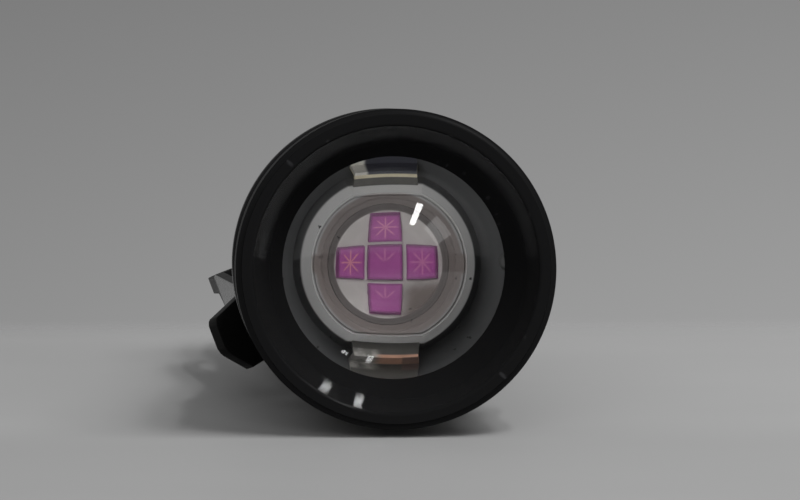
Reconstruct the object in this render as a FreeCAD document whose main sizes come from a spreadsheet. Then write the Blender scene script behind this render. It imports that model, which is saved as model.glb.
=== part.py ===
import FreeCAD, Part
import math
import os
import Sketcher

# A push-pull zoom infrared torch, in millimetres.
# The optical axis lies along Y, with the front rim of the head at Y = 0 and the tail at +Y.
# Z is up as the torch lies on a table, and the pocket clip is on the -X side, a little below the middle.

Vector = FreeCAD.Vector
ALONG_Y = FreeCAD.Rotation(Vector(1, 0, 0), -90)

doc = FreeCAD.newDocument("infrared_torch")
sheet = doc.addObject("Spreadsheet::Sheet", "sizes")


class Size:
    """A length that knows both its number and the sheet formula it comes from."""

    def __init__(self, text, value):
        self.text = text
        self.value = value

    @staticmethod
    def of(other):
        return other if isinstance(other, Size) else Size(repr(float(other)), float(other))

    def joined(self, sign, other, value):
        return Size(f"({self.text} {sign} {other.text})", value)

    def __add__(self, other):
        other = Size.of(other)
        return self.joined("+", other, self.value + other.value)

    def __sub__(self, other):
        other = Size.of(other)
        return self.joined("-", other, self.value - other.value)

    def __mul__(self, other):
        other = Size.of(other)
        return self.joined("*", other, self.value * other.value)

    def __truediv__(self, other):
        other = Size.of(other)
        return self.joined("/", other, self.value / other.value)

    def __radd__(self, other):
        return Size.of(other) + self

    def __rsub__(self, other):
        return Size.of(other) - self

    def __rmul__(self, other):
        return Size.of(other) * self

    def __neg__(self):
        return Size(f"(0 - {self.text})", -self.value)

    def root(self):
        return Size(f"sqrt({self.text})", math.sqrt(self.value))


def driving_size(alias, value):
    """Write one driving dimension into the sheet and hand it back as a Size."""
    driving_size.row += 1
    sheet.set(f"A{driving_size.row}", alias)
    sheet.set(f"B{driving_size.row}", str(value))
    sheet.setAlias(f"B{driving_size.row}", alias)
    return Size(f"sizes.{alias}", float(value))


driving_size.row = 0

# Clearances
seat_clearance = driving_size("seat_clearance", 0.03)
running_clearance = driving_size("running_clearance", 0.08)

# Lens: plano-convex, curved side forward
lens_front = driving_size("lens_front", 1.5)
lens_edge = driving_size("lens_edge", 4.0)
lens_curve = driving_size("lens_curve", 9.87)
lens_flattening = driving_size("lens_flattening", 0.1)
seal_section = driving_size("seal_section", 0.5)
seal_contact_inset = driving_size("seal_contact_inset", 0.2)

# Head
head_radius = driving_size("head_radius", 13.5)
head_length = driving_size("head_length", 34.0)
rim_rounding = driving_size("rim_rounding", 0.5)
bezel_width = driving_size("bezel_width", 3.5)
rim_width = driving_size("rim_width", 1.5)
mouth_rounding = driving_size("mouth_rounding", 0.35)
funnel_curve = driving_size("funnel_curve", 14.0)
lip_overlap = driving_size("lip_overlap", 0.55)
lip_thickness = driving_size("lip_thickness", 0.35)
band_front = driving_size("band_front", 6.0)
band_back = driving_size("band_back", 17.2)
band_depth = driving_size("band_depth", 0.5)
head_collar_width = driving_size("head_collar_width", 2.6)
head_taper_length = driving_size("head_taper_length", 3.2)
sleeve_step = driving_size("sleeve_step", 1.4)
sleeve_groove_depth = driving_size("sleeve_groove_depth", 0.4)
sleeve_groove_width = driving_size("sleeve_groove_width", 1.0)
edge_chamfer = driving_size("edge_chamfer", 0.5)
head_flute_count = driving_size("head_flute_count", 24)
head_flute_radius = driving_size("head_flute_radius", 1.1)
head_flute_depth = driving_size("head_flute_depth", 0.6)
guide_length = driving_size("guide_length", 2.5)
guide_height = driving_size("guide_height", 0.81)
zoom_travel = driving_size("zoom_travel", 8.5)
stop_gap = driving_size("stop_gap", 0.1)

# Lens retaining ring
ring_collar = driving_size("ring_collar", 1.1)
ring_web_overlap = driving_size("ring_web_overlap", 1.1)
ring_web = driving_size("ring_web", 1.6)
wrench_notch_width = driving_size("wrench_notch_width", 2.0)
wrench_notch_depth = driving_size("wrench_notch_depth", 0.8)

# Emitter package and its board
emitter_gap = driving_size("emitter_gap", 3.27)
emitter_radius = driving_size("emitter_radius", 4.0)
emitter_flat = driving_size("emitter_flat", 3.65)
emitter_height = driving_size("emitter_height", 2.9)
emitter_edge = driving_size("emitter_edge", 0.15)
ear_radius = driving_size("ear_radius", 0.45)
dome_radius = driving_size("dome_radius", 3.0)
dome_height = driving_size("dome_height", 2.95)
dome_foot_inset = driving_size("dome_foot_inset", 0.05)
dome_flange_radius = driving_size("dome_flange_radius", 3.3)
dome_flange = driving_size("dome_flange", 0.3)
dome_seat_depth = driving_size("dome_seat_depth", 0.35)
slug_radius = driving_size("slug_radius", 2.9)
cup_radius = driving_size("cup_radius", 1.75)
cup_mouth_radius = driving_size("cup_mouth_radius", 2.1)
cup_depth = driving_size("cup_depth", 0.3)
die_width = driving_size("die_width", 1.0)
die_pitch = driving_size("die_pitch", 1.12)
die_thickness = driving_size("die_thickness", 0.12)
lead_width = driving_size("lead_width", 3.1)
lead_thickness = driving_size("lead_thickness", 0.25)
lead_reach = driving_size("lead_reach", 0.9)
lead_foot = driving_size("lead_foot", 1.4)
lead_height = driving_size("lead_height", 1.5)
board_wall = driving_size("board_wall", 1.55)
board_thickness = driving_size("board_thickness", 1.6)
board_notch_radius = driving_size("board_notch_radius", 1.8)
board_notch_count = driving_size("board_notch_count", 6)

# Pill and driver
pill_rim_height = driving_size("pill_rim_height", 1.3)
pill_shelf = driving_size("pill_shelf", 2.5)
pill_hollow_depth = driving_size("pill_hollow_depth", 6.3)
pill_wall = driving_size("pill_wall", 1.3)
wire_radius = driving_size("wire_radius", 0.4)
wire_wall = driving_size("wire_wall", 0.1)
wire_step = driving_size("wire_step", 0.92)
wire_arch = driving_size("wire_arch", 1.0)
wire_bend = driving_size("wire_bend", 0.45)
wire_hole_clearance = driving_size("wire_hole_clearance", 0.15)
driver_wall = driving_size("driver_wall", 0.75)
driver_thickness = driving_size("driver_thickness", 1.2)
inductor_radius = driving_size("inductor_radius", 2.2)
inductor_height = driving_size("inductor_height", 3.0)
inductor_flange = driving_size("inductor_flange", 0.6)
inductor_waist = driving_size("inductor_waist", 1.7)
inductor_offset = driving_size("inductor_offset", 3.0)
chip_width = driving_size("chip_width", 3.0)
chip_length = driving_size("chip_length", 1.6)
chip_height = driving_size("chip_height", 1.1)
chip_pitch = driving_size("chip_pitch", 2.6)
driver_spring_length = driving_size("driver_spring_length", 2.6)
spring_wire = driving_size("spring_wire", 0.3)
spring_radius = driving_size("spring_radius", 2.2)

# Glide seal and collar that keeps the head on
glide_section = driving_size("glide_section", 0.55)
collar_clearance = driving_size("collar_clearance", 0.12)
groove_side = driving_size("groove_side", 0.03)

# Battery: one 14500 size cell
cell_radius = driving_size("cell_radius", 7.1)
cell_length = driving_size("cell_length", 50.0)
cell_button_radius = driving_size("cell_button_radius", 2.8)
cell_button_height = driving_size("cell_button_height", 1.2)
cell_rounding = driving_size("cell_rounding", 0.6)
cell_clearance = driving_size("cell_clearance", 0.25)

# Barrel
neck_wall = driving_size("neck_wall", 1.25)
shoulder_gap = driving_size("shoulder_gap", 0.2)
fin_radius = driving_size("fin_radius", 11.2)
fin_depth = driving_size("fin_depth", 1.4)
fin_width = driving_size("fin_width", 1.6)
fin_slot = driving_size("fin_slot", 1.1)
fin_count = driving_size("fin_count", 3)
barrel_radius = driving_size("barrel_radius", 10.2)
barrel_taper = driving_size("barrel_taper", 1.5)
grip_groove_depth = driving_size("grip_groove_depth", 0.4)
grip_groove_width = driving_size("grip_groove_width", 0.8)
grip_groove_count = driving_size("grip_groove_count", 6)
grip_flute_count = driving_size("grip_flute_count", 24)
grip_flute_radius = driving_size("grip_flute_radius", 0.7)
clip_groove_depth = driving_size("clip_groove_depth", 0.8)
clip_groove_length = driving_size("clip_groove_length", 8.0)
tail_flange = driving_size("tail_flange", 1.0)
barrel_overhang = driving_size("barrel_overhang", 0.5)
thread_radius = driving_size("thread_radius", 8.95)
thread_length = driving_size("thread_length", 5.2)
tail_groove_width = driving_size("tail_groove_width", 1.1)
tail_groove_land = driving_size("tail_groove_land", 0.4)
tail_seal_section = driving_size("tail_seal_section", 0.5)

# Pocket clip
clip_angle = driving_size("clip_angle", 20.7)
clip_thickness = driving_size("clip_thickness", 0.8)
clamp_width = driving_size("clamp_width", 5.8)
clamp_opening = driving_size("clamp_opening", 70.0)
clip_bend = driving_size("clip_bend", 2.3)
clip_half_width = driving_size("clip_half_width", 3.2)
clip_neck_width = driving_size("clip_neck_width", 2.8)
clip_neck_length = driving_size("clip_neck_length", 5.0)
clip_shoulder_length = driving_size("clip_shoulder_length", 4.0)
clip_heel_gap = driving_size("clip_heel_gap", 0.3)
clip_heel_station = driving_size("clip_heel_station", 40.0)
clip_tip_station = driving_size("clip_tip_station", 30.4)
clip_tip_radius = driving_size("clip_tip_radius", 16.5)
clip_tip_half_width = driving_size("clip_tip_half_width", 1.25)
clip_flare_length = driving_size("clip_flare_length", 4.2)

# Tail cap and switch
cap_radius = driving_size("cap_radius", 11.3)
cap_land_depth = driving_size("cap_land_depth", 0.4)
cap_flute_count = driving_size("cap_flute_count", 6)
cap_flute_radius = driving_size("cap_flute_radius", 5.0)
cap_flute_depth = driving_size("cap_flute_depth", 1.1)
cap_gap = driving_size("cap_gap", 0.1)
cap_land = driving_size("cap_land", 1.6)
cap_end_wall = driving_size("cap_end_wall", 1.6)
cap_end_flange = driving_size("cap_end_flange", 2.8)
thread_clearance = driving_size("thread_clearance", 0.1)
seal_bore_step = driving_size("seal_bore_step", 0.2)
switch_board_radius = driving_size("switch_board_radius", 8.35)
switch_board_thickness = driving_size("switch_board_thickness", 1.2)
board_seat_width = driving_size("board_seat_width", 0.5)
retaining_ring_height = driving_size("retaining_ring_height", 1.8)
retaining_ring_hole = driving_size("retaining_ring_hole", 6.4)
contact_gap = driving_size("contact_gap", 0.05)
switch_radius = driving_size("switch_radius", 5.6)
switch_floor = driving_size("switch_floor", 0.6)
switch_roof = driving_size("switch_roof", 0.95)
switch_cavity_radius = driving_size("switch_cavity_radius", 3.2)
plunger_radius = driving_size("plunger_radius", 2.0)
plunger_flange_radius = driving_size("plunger_flange_radius", 3.0)
plunger_flange = driving_size("plunger_flange", 0.8)
plunger_gap = driving_size("plunger_gap", 0.05)
button_travel = driving_size("button_travel", 1.5)
switch_spring_closed = driving_size("switch_spring_closed", 1.1)
boot_gap = driving_size("boot_gap", 0.15)
terminal_width = driving_size("terminal_width", 0.8)
terminal_offset = driving_size("terminal_offset", 2.2)
terminal_stand_out = driving_size("terminal_stand_out", 0.35)
washer_thickness = driving_size("washer_thickness", 0.7)
washer_hole = driving_size("washer_hole", 3.4)
boot_flange = driving_size("boot_flange", 1.0)
boot_radius = driving_size("boot_radius", 5.15)
boot_wall = driving_size("boot_wall", 1.2)
boot_stand_out = driving_size("boot_stand_out", 1.8)
boot_skirt = driving_size("boot_skirt", 0.5)
boot_crown = driving_size("boot_crown", 0.6)
boot_hole_clearance = driving_size("boot_hole_clearance", 0.15)
tail_wire = driving_size("tail_wire", 0.4)
tail_spring_radius = driving_size("tail_spring_radius", 3.4)
tail_spring_base = driving_size("tail_spring_base", 4.6)
switch_wire = driving_size("switch_wire", 0.2)
switch_spring_radius = driving_size("switch_spring_radius", 2.4)
lanyard_radius = driving_size("lanyard_radius", 0.9)
lanyard_wall = driving_size("lanyard_wall", 0.45)
lanyard_notch_length = driving_size("lanyard_notch_length", 2.8)
lanyard_notch_width = driving_size("lanyard_notch_width", 3.4)

# Places that follow from the driving sizes, from the front rim to the tail
lens_radius = head_radius - bezel_width
edge_depth = (lens_curve * lens_curve - lens_flattening * lens_radius * lens_radius).root()
lens_thickness = (lens_curve - edge_depth) / lens_flattening + lens_edge
lens_back = lens_front + lens_thickness
seal_contact = lens_radius - seal_contact_inset
contact_depth = (lens_curve * lens_curve - lens_flattening * seal_contact * seal_contact).root()
contact_sag = (lens_curve - contact_depth) / lens_flattening
contact_slope = seal_contact / contact_depth
contact_length = (contact_slope * contact_slope + 1).root()
seal_radius = seal_contact + (seal_section + seat_clearance) * contact_slope / contact_length
seal_station = lens_front + contact_sag - (seal_section + seat_clearance) / contact_length
lip_back = seal_station - seal_section - seat_clearance
lip_front = lip_back - lip_thickness
bore_radius = seal_radius + seal_section + seat_clearance
mouth_radius = head_radius - rim_width
aperture_radius = lens_radius - lip_overlap
sleeve_radius = head_radius - sleeve_step
ring_web_radius = lens_radius - ring_web_overlap
collar_back = band_back + head_collar_width
taper_back = collar_back + head_taper_length
guide_radius = bore_radius - guide_height
guide_front = head_length - guide_length
neck_radius = guide_radius - running_clearance
ring_back = lens_back + seat_clearance + ring_web

emitter_front = lens_back + emitter_gap
slug_front = emitter_front + dome_seat_depth
cup_floor = slug_front + cup_depth
board_front = emitter_front + emitter_height
board_back = board_front + board_thickness
pill_front = board_back - pill_rim_height
shelf_back = board_back + pill_shelf
pill_collar_radius = bore_radius - collar_clearance
pill_collar_back = guide_front - zoom_travel - stop_gap
glide_station = (pill_front + pill_collar_back) / 2
glide_radius = bore_radius - seat_clearance - glide_section
glide_groove_radius = glide_radius - glide_section - groove_side
board_radius = glide_groove_radius - board_wall - seat_clearance
pill_stub_radius = neck_radius - neck_wall
pill_hollow_radius = pill_stub_radius - pill_wall
wire_circle = pill_hollow_radius - wire_radius - wire_wall
wire_pad_circle = wire_circle - wire_step
driver_radius = pill_stub_radius - driver_wall
driver_front = shelf_back + pill_hollow_depth
driver_back = driver_front + driver_thickness
pill_back = driver_back + seat_clearance

cell_front = driver_back + driver_spring_length
cell_back = cell_front + cell_length
cell_bore = cell_radius + cell_clearance
barrel_front = pill_collar_back + seat_clearance
barrel_back = cell_back + barrel_overhang
barrel_step = pill_back + seat_clearance
shoulder_front = head_length + shoulder_gap
fins_back = shoulder_front + fin_count * (fin_width + fin_slot) + fin_width
grip_front = fins_back + barrel_taper
thread_front = barrel_back - thread_length
tail_groove_front = thread_front - tail_groove_width
flange_back = tail_groove_front - tail_groove_land
flange_front = flange_back - tail_flange
clip_groove_front = flange_front - clip_groove_length
clip_groove_radius = barrel_radius - clip_groove_depth
tail_groove_station = tail_groove_front + tail_groove_width / 2
seal_bore = thread_radius + thread_clearance + seal_bore_step
tail_seal_radius = seal_bore - seat_clearance - tail_seal_section
tail_groove_radius = tail_seal_radius - tail_seal_section - groove_side

cap_front = flange_back + cap_gap
ring_front = barrel_back + contact_gap
switch_board_front = ring_front + retaining_ring_height
switch_board_back = switch_board_front + switch_board_thickness
cavity_front = switch_board_back + switch_floor
plunger_flange_front = cavity_front + switch_spring_closed + button_travel
plunger_flange_back = plunger_flange_front + plunger_flange
switch_back = plunger_flange_back + plunger_gap + switch_roof
washer_back = switch_back + washer_thickness
boot_seat = washer_back + boot_flange
cap_back = boot_seat + cap_end_wall
boot_tip = cap_back + boot_stand_out
plunger_tip = boot_tip - boot_wall - boot_gap
cap_bore = switch_board_radius + seat_clearance
cap_inner = cap_bore - board_seat_width
cap_land_radius = cap_radius - cap_land_depth
cap_band_front = cap_front + cap_land
cap_band_back = cap_back - cap_end_flange


def origin_feature(body, role):
    """Find one of a body's own origin planes or axes."""
    return [feature for feature in body.Origin.OriginFeatures if feature.Role == role][0]


def new_body(name):
    body = doc.addObject("PartDesign::Body", name)
    body.Label = name
    return body


def bind(thing, field, size):
    """Set a field from a Size, and tie it to the sheet by the same formula."""
    thing.setExpression(field, Size.of(size).text)


def pin_vertex(sketch, edge, end, x, y):
    """Hold one vertex of a sketch at the two sizes, or on an axis where a size is a plain 0."""
    for kind, size, axis in (("DistanceX", x, -2), ("DistanceY", y, -1)):
        if not isinstance(size, Size) and size == 0:
            sketch.addConstraint(Sketcher.Constraint("PointOnObject", edge, end, axis))
            continue
        size = Size.of(size)
        place = sketch.addConstraint(Sketcher.Constraint(kind, -1, 1, edge, end, size.value))
        bind(sketch, f"Constraints[{place}]", size)


def middle_of_arc(start, finish, radius):
    """A point half way round an arc that bulges right of its way; a negative radius bulges left."""
    chord = finish - start
    half = chord.Length / 2
    rise = abs(radius) - math.sqrt(max(radius * radius - half * half, 0))
    side = Vector(chord.y, -chord.x, 0).normalize()
    return (start + finish) / 2 + side * math.copysign(rise, radius)


def draw_outline(sketch, points):
    """Draw a closed outline. A point is (x, y), or (x, y, radius) where an arc arrives at it."""
    places = [Vector(Size.of(point[0]).value, Size.of(point[1]).value, 0) for point in points]
    ends = []
    for index, start in enumerate(places):
        following = (index + 1) % len(points)
        finish = places[following]
        if len(points[following]) == 3:
            radius = Size.of(points[following][2])
            middle = middle_of_arc(start, finish, radius.value)
            if radius.value > 0:
                edge = sketch.addGeometry(Part.Arc(start, middle, finish), False)
                ends.append((edge, (1, 2), radius))
            else:
                edge = sketch.addGeometry(Part.Arc(finish, middle, start), False)
                ends.append((edge, (2, 1), -radius))
        else:
            edge = sketch.addGeometry(Part.LineSegment(start, finish), False)
            ends.append((edge, (1, 2), None))
    for index, (edge, (first, last), radius) in enumerate(ends):
        next_edge, (next_first, next_last), next_radius = ends[(index + 1) % len(ends)]
        sketch.addConstraint(Sketcher.Constraint("Coincident", edge, last, next_edge, next_first))
        pin_vertex(sketch, edge, first, points[index][0], points[index][1])
    for edge, order, radius in ends:
        if radius:
            place = sketch.addConstraint(Sketcher.Constraint("Radius", edge, radius.value))
            bind(sketch, f"Constraints[{place}]", radius)
    return sketch


def draw_circle(sketch, x, y, radius):
    centre = Vector(Size.of(x).value, Size.of(y).value, 0)
    edge = sketch.addGeometry(Part.Circle(centre, Vector(0, 0, 1), radius.value), False)
    place = sketch.addConstraint(Sketcher.Constraint("Radius", edge, radius.value))
    bind(sketch, f"Constraints[{place}]", radius)
    pin_vertex(sketch, edge, 3, x, y)
    return sketch


def sketch_on(body, name, role, station=None):
    """Start a sketch on one of the body's origin planes; across the axis it can stand at a station."""
    sketch = body.newObject("Sketcher::SketchObject", name)
    sketch.AttachmentSupport = [(origin_feature(body, role), "")]
    sketch.MapMode = "FlatFace"
    if station is not None:
        bind(sketch, "AttachmentOffset.Base.z", -Size.of(station))
    return sketch


def turned(name, outline):
    """A body made on a lathe: the outline lists (radius, station) points."""
    body = new_body(name)
    sketch = sketch_on(body, name + "_outline", "XY_Plane")
    draw_outline(sketch, outline)
    doc.recompute()
    turning = body.newObject("PartDesign::Revolution", name + "_turning")
    turning.Profile = sketch
    turning.ReferenceAxis = (sketch, ["V_Axis"])
    turning.Angle = 360
    doc.recompute()
    return body


def cut_along(body, name, draw, start, length):
    """Cut a sketched shape along +Y from a station. draw fills in the sketch."""
    sketch = sketch_on(body, name + "_sketch", "XZ_Plane", start)
    draw(sketch)
    doc.recompute()
    pocket = body.newObject("PartDesign::Pocket", name)
    pocket.Profile = sketch
    pocket.Type = "Length"
    bind(pocket, "Length", length)
    before = body.Shape.Volume
    doc.recompute()
    if body.Shape.Volume > before - 1e-6:
        pocket.Reversed = True
        doc.recompute()
    return pocket


def repeat_round(body, feature, count):
    """Repeat a cut about the torch's axis."""
    pattern = body.newObject("PartDesign::PolarPattern", feature.Name + "_round")
    pattern.Originals = [feature]
    pattern.Axis = (origin_feature(body, "Y_Axis"), [""])
    pattern.Angle = 360
    bind(pattern, "Occurrences", count)
    body.Tip = pattern
    doc.recompute()
    return pattern


def flutes(body, name, surface, depth, radius, count, start, length, lowest=False):
    """Scalloped grooves round a turned surface. With lowest, one of them lies at the bottom."""
    middle = surface - depth + radius
    across, up = (0, -middle) if lowest else (middle, 0)
    cut = cut_along(body, name, lambda sketch: draw_circle(sketch, across, up, radius), start, length)
    return repeat_round(body, cut, count)


def rectangle(sketch, left, right, bottom, top):
    return draw_outline(sketch, [(left, bottom), (right, bottom), (right, top), (left, top)])


def wrench_notches(body, name, outer, inner, start):
    """Two notches across a ring's face for a pin wrench."""
    half = wrench_notch_width / 2
    for number, side in enumerate((1, -1)):
        near, far = inner * side, outer * side
        cut_along(
            body,
            f"{name}_{number + 1}",
            lambda sketch: rectangle(sketch, near, far, -half, half),
            start,
            wrench_notch_depth,
        )


def torus(name, ring_radius, section, station):
    ring = doc.addObject("Part::Torus", name)
    ring.Label = name
    bind(ring, "Radius1", ring_radius)
    bind(ring, "Radius2", section)
    ring.Placement = FreeCAD.Placement(Vector(0, 0, 0), ALONG_Y)
    bind(ring, "Placement.Base.y", station)
    return ring


def block(name, x, y, z, width, length, height):
    """A box centred on x and z that starts at station y."""
    box = doc.addObject("Part::Box", name)
    bind(box, "Length", width)
    bind(box, "Width", length)
    bind(box, "Height", height)
    bind(box, "Placement.Base.x", Size.of(x) - Size.of(width) / 2)
    bind(box, "Placement.Base.y", y)
    bind(box, "Placement.Base.z", Size.of(z) - Size.of(height) / 2)
    return box


def group(name, members):
    compound = doc.addObject("Part::Compound", name)
    compound.Label = name
    compound.Links = members
    return compound


def coil(name, first_radius, last_radius, wire, start, finish, turns):
    """A round-wire spring whose wire touches both stations; it narrows evenly from first to last."""
    rise = finish.value - start.value - 2 * wire.value
    lean = math.degrees(math.atan2(last_radius.value - first_radius.value, rise))
    helix = Part.makeLongHelix(rise / turns, rise, first_radius.value, lean)
    section = Part.Wire(Part.Circle(Vector(first_radius.value, 0, 0), Vector(0, 1, 0), wire.value).toShape())
    spring = doc.addObject("Part::Feature", name)
    spring.Label = name
    spring.Shape = Part.Wire(helix.Edges).makePipeShell([section], True, True)
    spring.Placement = FreeCAD.Placement(Vector(0, start.value + wire.value, 0), ALONG_Y)
    return spring


def wire_run(name, side):
    """An insulated lead from the driver, through the pill's shelf, over onto the star board's pad."""
    outer, inner = side * wire_circle.value, side * wire_pad_circle.value
    crest = board_front.value - wire_arch.value
    bend = wire_bend.value
    turn = bend * (1 - math.sqrt(0.5))
    step = side * bend
    inward = side * turn
    path = Part.Wire(
        [
            Part.LineSegment(Vector(outer, driver_front.value, 0), Vector(outer, crest + bend, 0)).toShape(),
            Part.Arc(
                Vector(outer, crest + bend, 0),
                Vector(outer - inward, crest + turn, 0),
                Vector(outer - step, crest, 0),
            ).toShape(),
            Part.LineSegment(Vector(outer - step, crest, 0), Vector(inner + step, crest, 0)).toShape(),
            Part.Arc(
                Vector(inner + step, crest, 0),
                Vector(inner + inward, crest + turn, 0),
                Vector(inner, crest + bend, 0),
            ).toShape(),
            Part.LineSegment(Vector(inner, crest + bend, 0), Vector(inner, board_front.value, 0)).toShape(),
        ]
    )
    section = Part.Circle(Vector(outer, driver_front.value, 0), Vector(0, -1, 0), wire_radius.value)
    lead = doc.addObject("Part::Feature", name)
    lead.Label = name
    lead.Shape = path.makePipeShell([Part.Wire(section.toShape())], True, True)
    return lead


# Head shell: one turned piece with the funnel bezel, a fluted band and the ribbed rear sleeve
sleeve_grooves = []
for number in range(3):
    start = taper_back + (2 * number + 1.5) * sleeve_groove_width
    sleeve_grooves += [
        (sleeve_radius, start),
        (sleeve_radius - sleeve_groove_depth, start),
        (sleeve_radius - sleeve_groove_depth, start + sleeve_groove_width),
        (sleeve_radius, start + sleeve_groove_width),
    ]
head_shell = turned(
    "head_shell",
    [
        (aperture_radius, lip_front),
        (mouth_radius, mouth_rounding, -funnel_curve),
        (mouth_radius + mouth_rounding, 0, mouth_rounding),
        (head_radius - rim_rounding, 0),
        (head_radius, rim_rounding, rim_rounding),
        (head_radius, band_front),
        (head_radius - band_depth, band_front + band_depth),
        (head_radius - band_depth, band_back - band_depth),
        (head_radius, band_back),
        (head_radius, collar_back - edge_chamfer),
        (head_radius - edge_chamfer, collar_back),
        (sleeve_radius, taper_back),
        *sleeve_grooves,
        (sleeve_radius, head_length - edge_chamfer),
        (sleeve_radius - edge_chamfer, head_length),
        (guide_radius, head_length),
        (guide_radius, guide_front),
        (bore_radius, guide_front),
        (bore_radius, lip_back),
        (aperture_radius, lip_back),
    ],
)
flutes(
    head_shell,
    "head_flute",
    head_radius - band_depth,
    head_flute_depth,
    head_flute_radius,
    head_flute_count,
    band_front + band_depth,
    band_back - band_front - 2 * band_depth,
)

# Lens: a cylinder cut by the ellipsoid of its aspheric front
ellipsoid = doc.addObject("Part::Ellipsoid", "lens_surface")
long_axis = lens_curve / lens_flattening
cross_axis = lens_curve / lens_flattening.root()
bind(ellipsoid, "Radius1", long_axis)
bind(ellipsoid, "Radius2", cross_axis)
bind(ellipsoid, "Radius3", cross_axis)
ellipsoid.Placement = FreeCAD.Placement(Vector(0, 0, 0), ALONG_Y)
bind(ellipsoid, "Placement.Base.y", lens_front + long_axis)
blank = doc.addObject("Part::Cylinder", "lens_blank")
bind(blank, "Radius", lens_radius)
bind(blank, "Height", lens_thickness)
blank.Placement = FreeCAD.Placement(Vector(0, 0, 0), ALONG_Y)
bind(blank, "Placement.Base.y", lens_front)
lens = doc.addObject("Part::MultiCommon", "lens")
lens.Label = "lens"
lens.Shapes = [blank, ellipsoid]

lens_seal = torus("lens_seal", seal_radius, seal_section, seal_station)

# Lens retaining ring: screws in from behind and holds the lens by its edge and back
lens_retaining_ring = turned(
    "lens_retaining_ring",
    [
        (lens_radius + seat_clearance, lens_back - ring_collar),
        (bore_radius - seat_clearance, lens_back - ring_collar),
        (bore_radius - seat_clearance, ring_back),
        (ring_web_radius, ring_back),
        (ring_web_radius, lens_back + seat_clearance),
        (lens_radius + seat_clearance, lens_back + seat_clearance),
    ],
)
wrench_notches(
    lens_retaining_ring,
    "lens_ring_notch",
    bore_radius,
    ring_web_radius - wrench_notch_depth,
    ring_back - wrench_notch_depth,
)

head_glide_o_ring = torus("head_glide_o_ring", glide_radius, glide_section, glide_station)

# Pill: the heat-sink cup that carries the light module and keeps the head on the barrel
groove_half = glide_section + groove_side
pill = turned(
    "pill",
    [
        (0, board_back),
        (board_radius + seat_clearance, board_back),
        (board_radius + seat_clearance, pill_front),
        (pill_collar_radius, pill_front),
        (pill_collar_radius, glide_station - groove_half),
        (glide_groove_radius, glide_station - groove_half),
        (glide_groove_radius, glide_station + groove_half),
        (pill_collar_radius, glide_station + groove_half),
        (pill_collar_radius, pill_collar_back),
        (pill_stub_radius, pill_collar_back),
        (pill_stub_radius, pill_back),
        (driver_radius + seat_clearance, pill_back),
        (driver_radius + seat_clearance, driver_front),
        (pill_hollow_radius, driver_front),
        (pill_hollow_radius, shelf_back),
        (0, shelf_back),
    ],
)
wire_hole = wire_radius + wire_hole_clearance
for number, side in enumerate((1, -1)):
    cut_along(
        pill,
        f"wire_hole_{number + 1}",
        lambda sketch: draw_circle(sketch, wire_circle * side, 0, wire_hole),
        board_back,
        pill_shelf,
    )

# Star board: round, with notches at its edge for screws and lead wires
star_board = turned(
    "star_board",
    [(0, board_front), (board_radius, board_front), (board_radius, board_back), (0, board_back)],
)
notch = cut_along(
    star_board,
    "edge_notch",
    lambda sketch: draw_circle(sketch, board_radius, 0, board_notch_radius),
    board_front,
    board_thickness,
)
repeat_round(star_board, notch, board_notch_count)

# Emitter housing: moulded ring with a flat above and below and a keying ear at each side
emitter_housing = turned(
    "emitter_housing",
    [
        (dome_flange_radius + seat_clearance, emitter_front),
        (emitter_radius - emitter_edge, emitter_front),
        (emitter_radius, emitter_front + emitter_edge),
        (emitter_radius, board_front),
        (slug_radius + seat_clearance, board_front),
        (slug_radius + seat_clearance, slug_front),
        (dome_flange_radius + seat_clearance, slug_front),
    ],
)
for number, side in enumerate((1, -1)):
    cut_along(
        emitter_housing,
        f"housing_flat_{number + 1}",
        lambda sketch: rectangle(
            sketch, -emitter_radius, emitter_radius, emitter_flat * side, (emitter_radius + 1) * side
        ),
        emitter_front,
        emitter_height,
    )
    cut_along(
        emitter_housing,
        f"housing_ear_{number + 1}",
        lambda sketch: draw_circle(sketch, dome_flange_radius * side, 0, ear_radius),
        emitter_front,
        dome_seat_depth,
    )

# Emitter slug: plated copper, with the shallow cup that holds the dies
emitter_slug = turned(
    "emitter_slug",
    [
        (0, cup_floor),
        (cup_radius, cup_floor),
        (cup_mouth_radius, slug_front),
        (slug_radius, slug_front),
        (slug_radius, board_front),
        (0, board_front),
    ],
)

# Five dies in a cross on the cup's floor
die_places = [(0, 0), (0, 1), (0, -1), (1, 0), (-1, 0)]
emitter_dies = group(
    "emitter_dies",
    [
        block(
            f"die_{number + 1}",
            die_pitch * column,
            cup_floor - die_thickness,
            die_pitch * row,
            die_width,
            die_thickness,
            die_width,
        )
        for number, (column, row) in enumerate(die_places)
    ],
)

emitter_dome = turned(
    "emitter_dome",
    [
        (0, slug_front),
        (dome_flange_radius, slug_front),
        (dome_flange_radius, slug_front - dome_flange),
        (dome_radius - dome_foot_inset, slug_front - dome_flange),
        (0, slug_front - dome_height, -dome_radius),
    ],
)


def emitter_lead(name, side):
    """A flat lead that leaves the housing, bends down and stands on the board."""
    body = new_body(name)
    sketch = sketch_on(body, name + "_side", "YZ_Plane")
    top = board_front - lead_height
    reach = emitter_flat + lead_reach
    foot = reach + lead_foot
    draw_outline(
        sketch,
        [
            (top, emitter_flat * side),
            (top, reach * side),
            (board_front - lead_thickness, reach * side),
            (board_front - lead_thickness, foot * side),
            (board_front, foot * side),
            (board_front, (reach - lead_thickness) * side),
            (top + lead_thickness, (reach - lead_thickness) * side),
            (top + lead_thickness, emitter_flat * side),
        ],
    )
    doc.recompute()
    pad = body.newObject("PartDesign::Pad", name + "_strip")
    pad.Profile = sketch
    pad.Midplane = True
    bind(pad, "Length", lead_width)
    doc.recompute()
    return body


emitter_lead_positive = emitter_lead("emitter_lead_positive", 1)
emitter_lead_negative = emitter_lead("emitter_lead_negative", -1)

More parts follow.
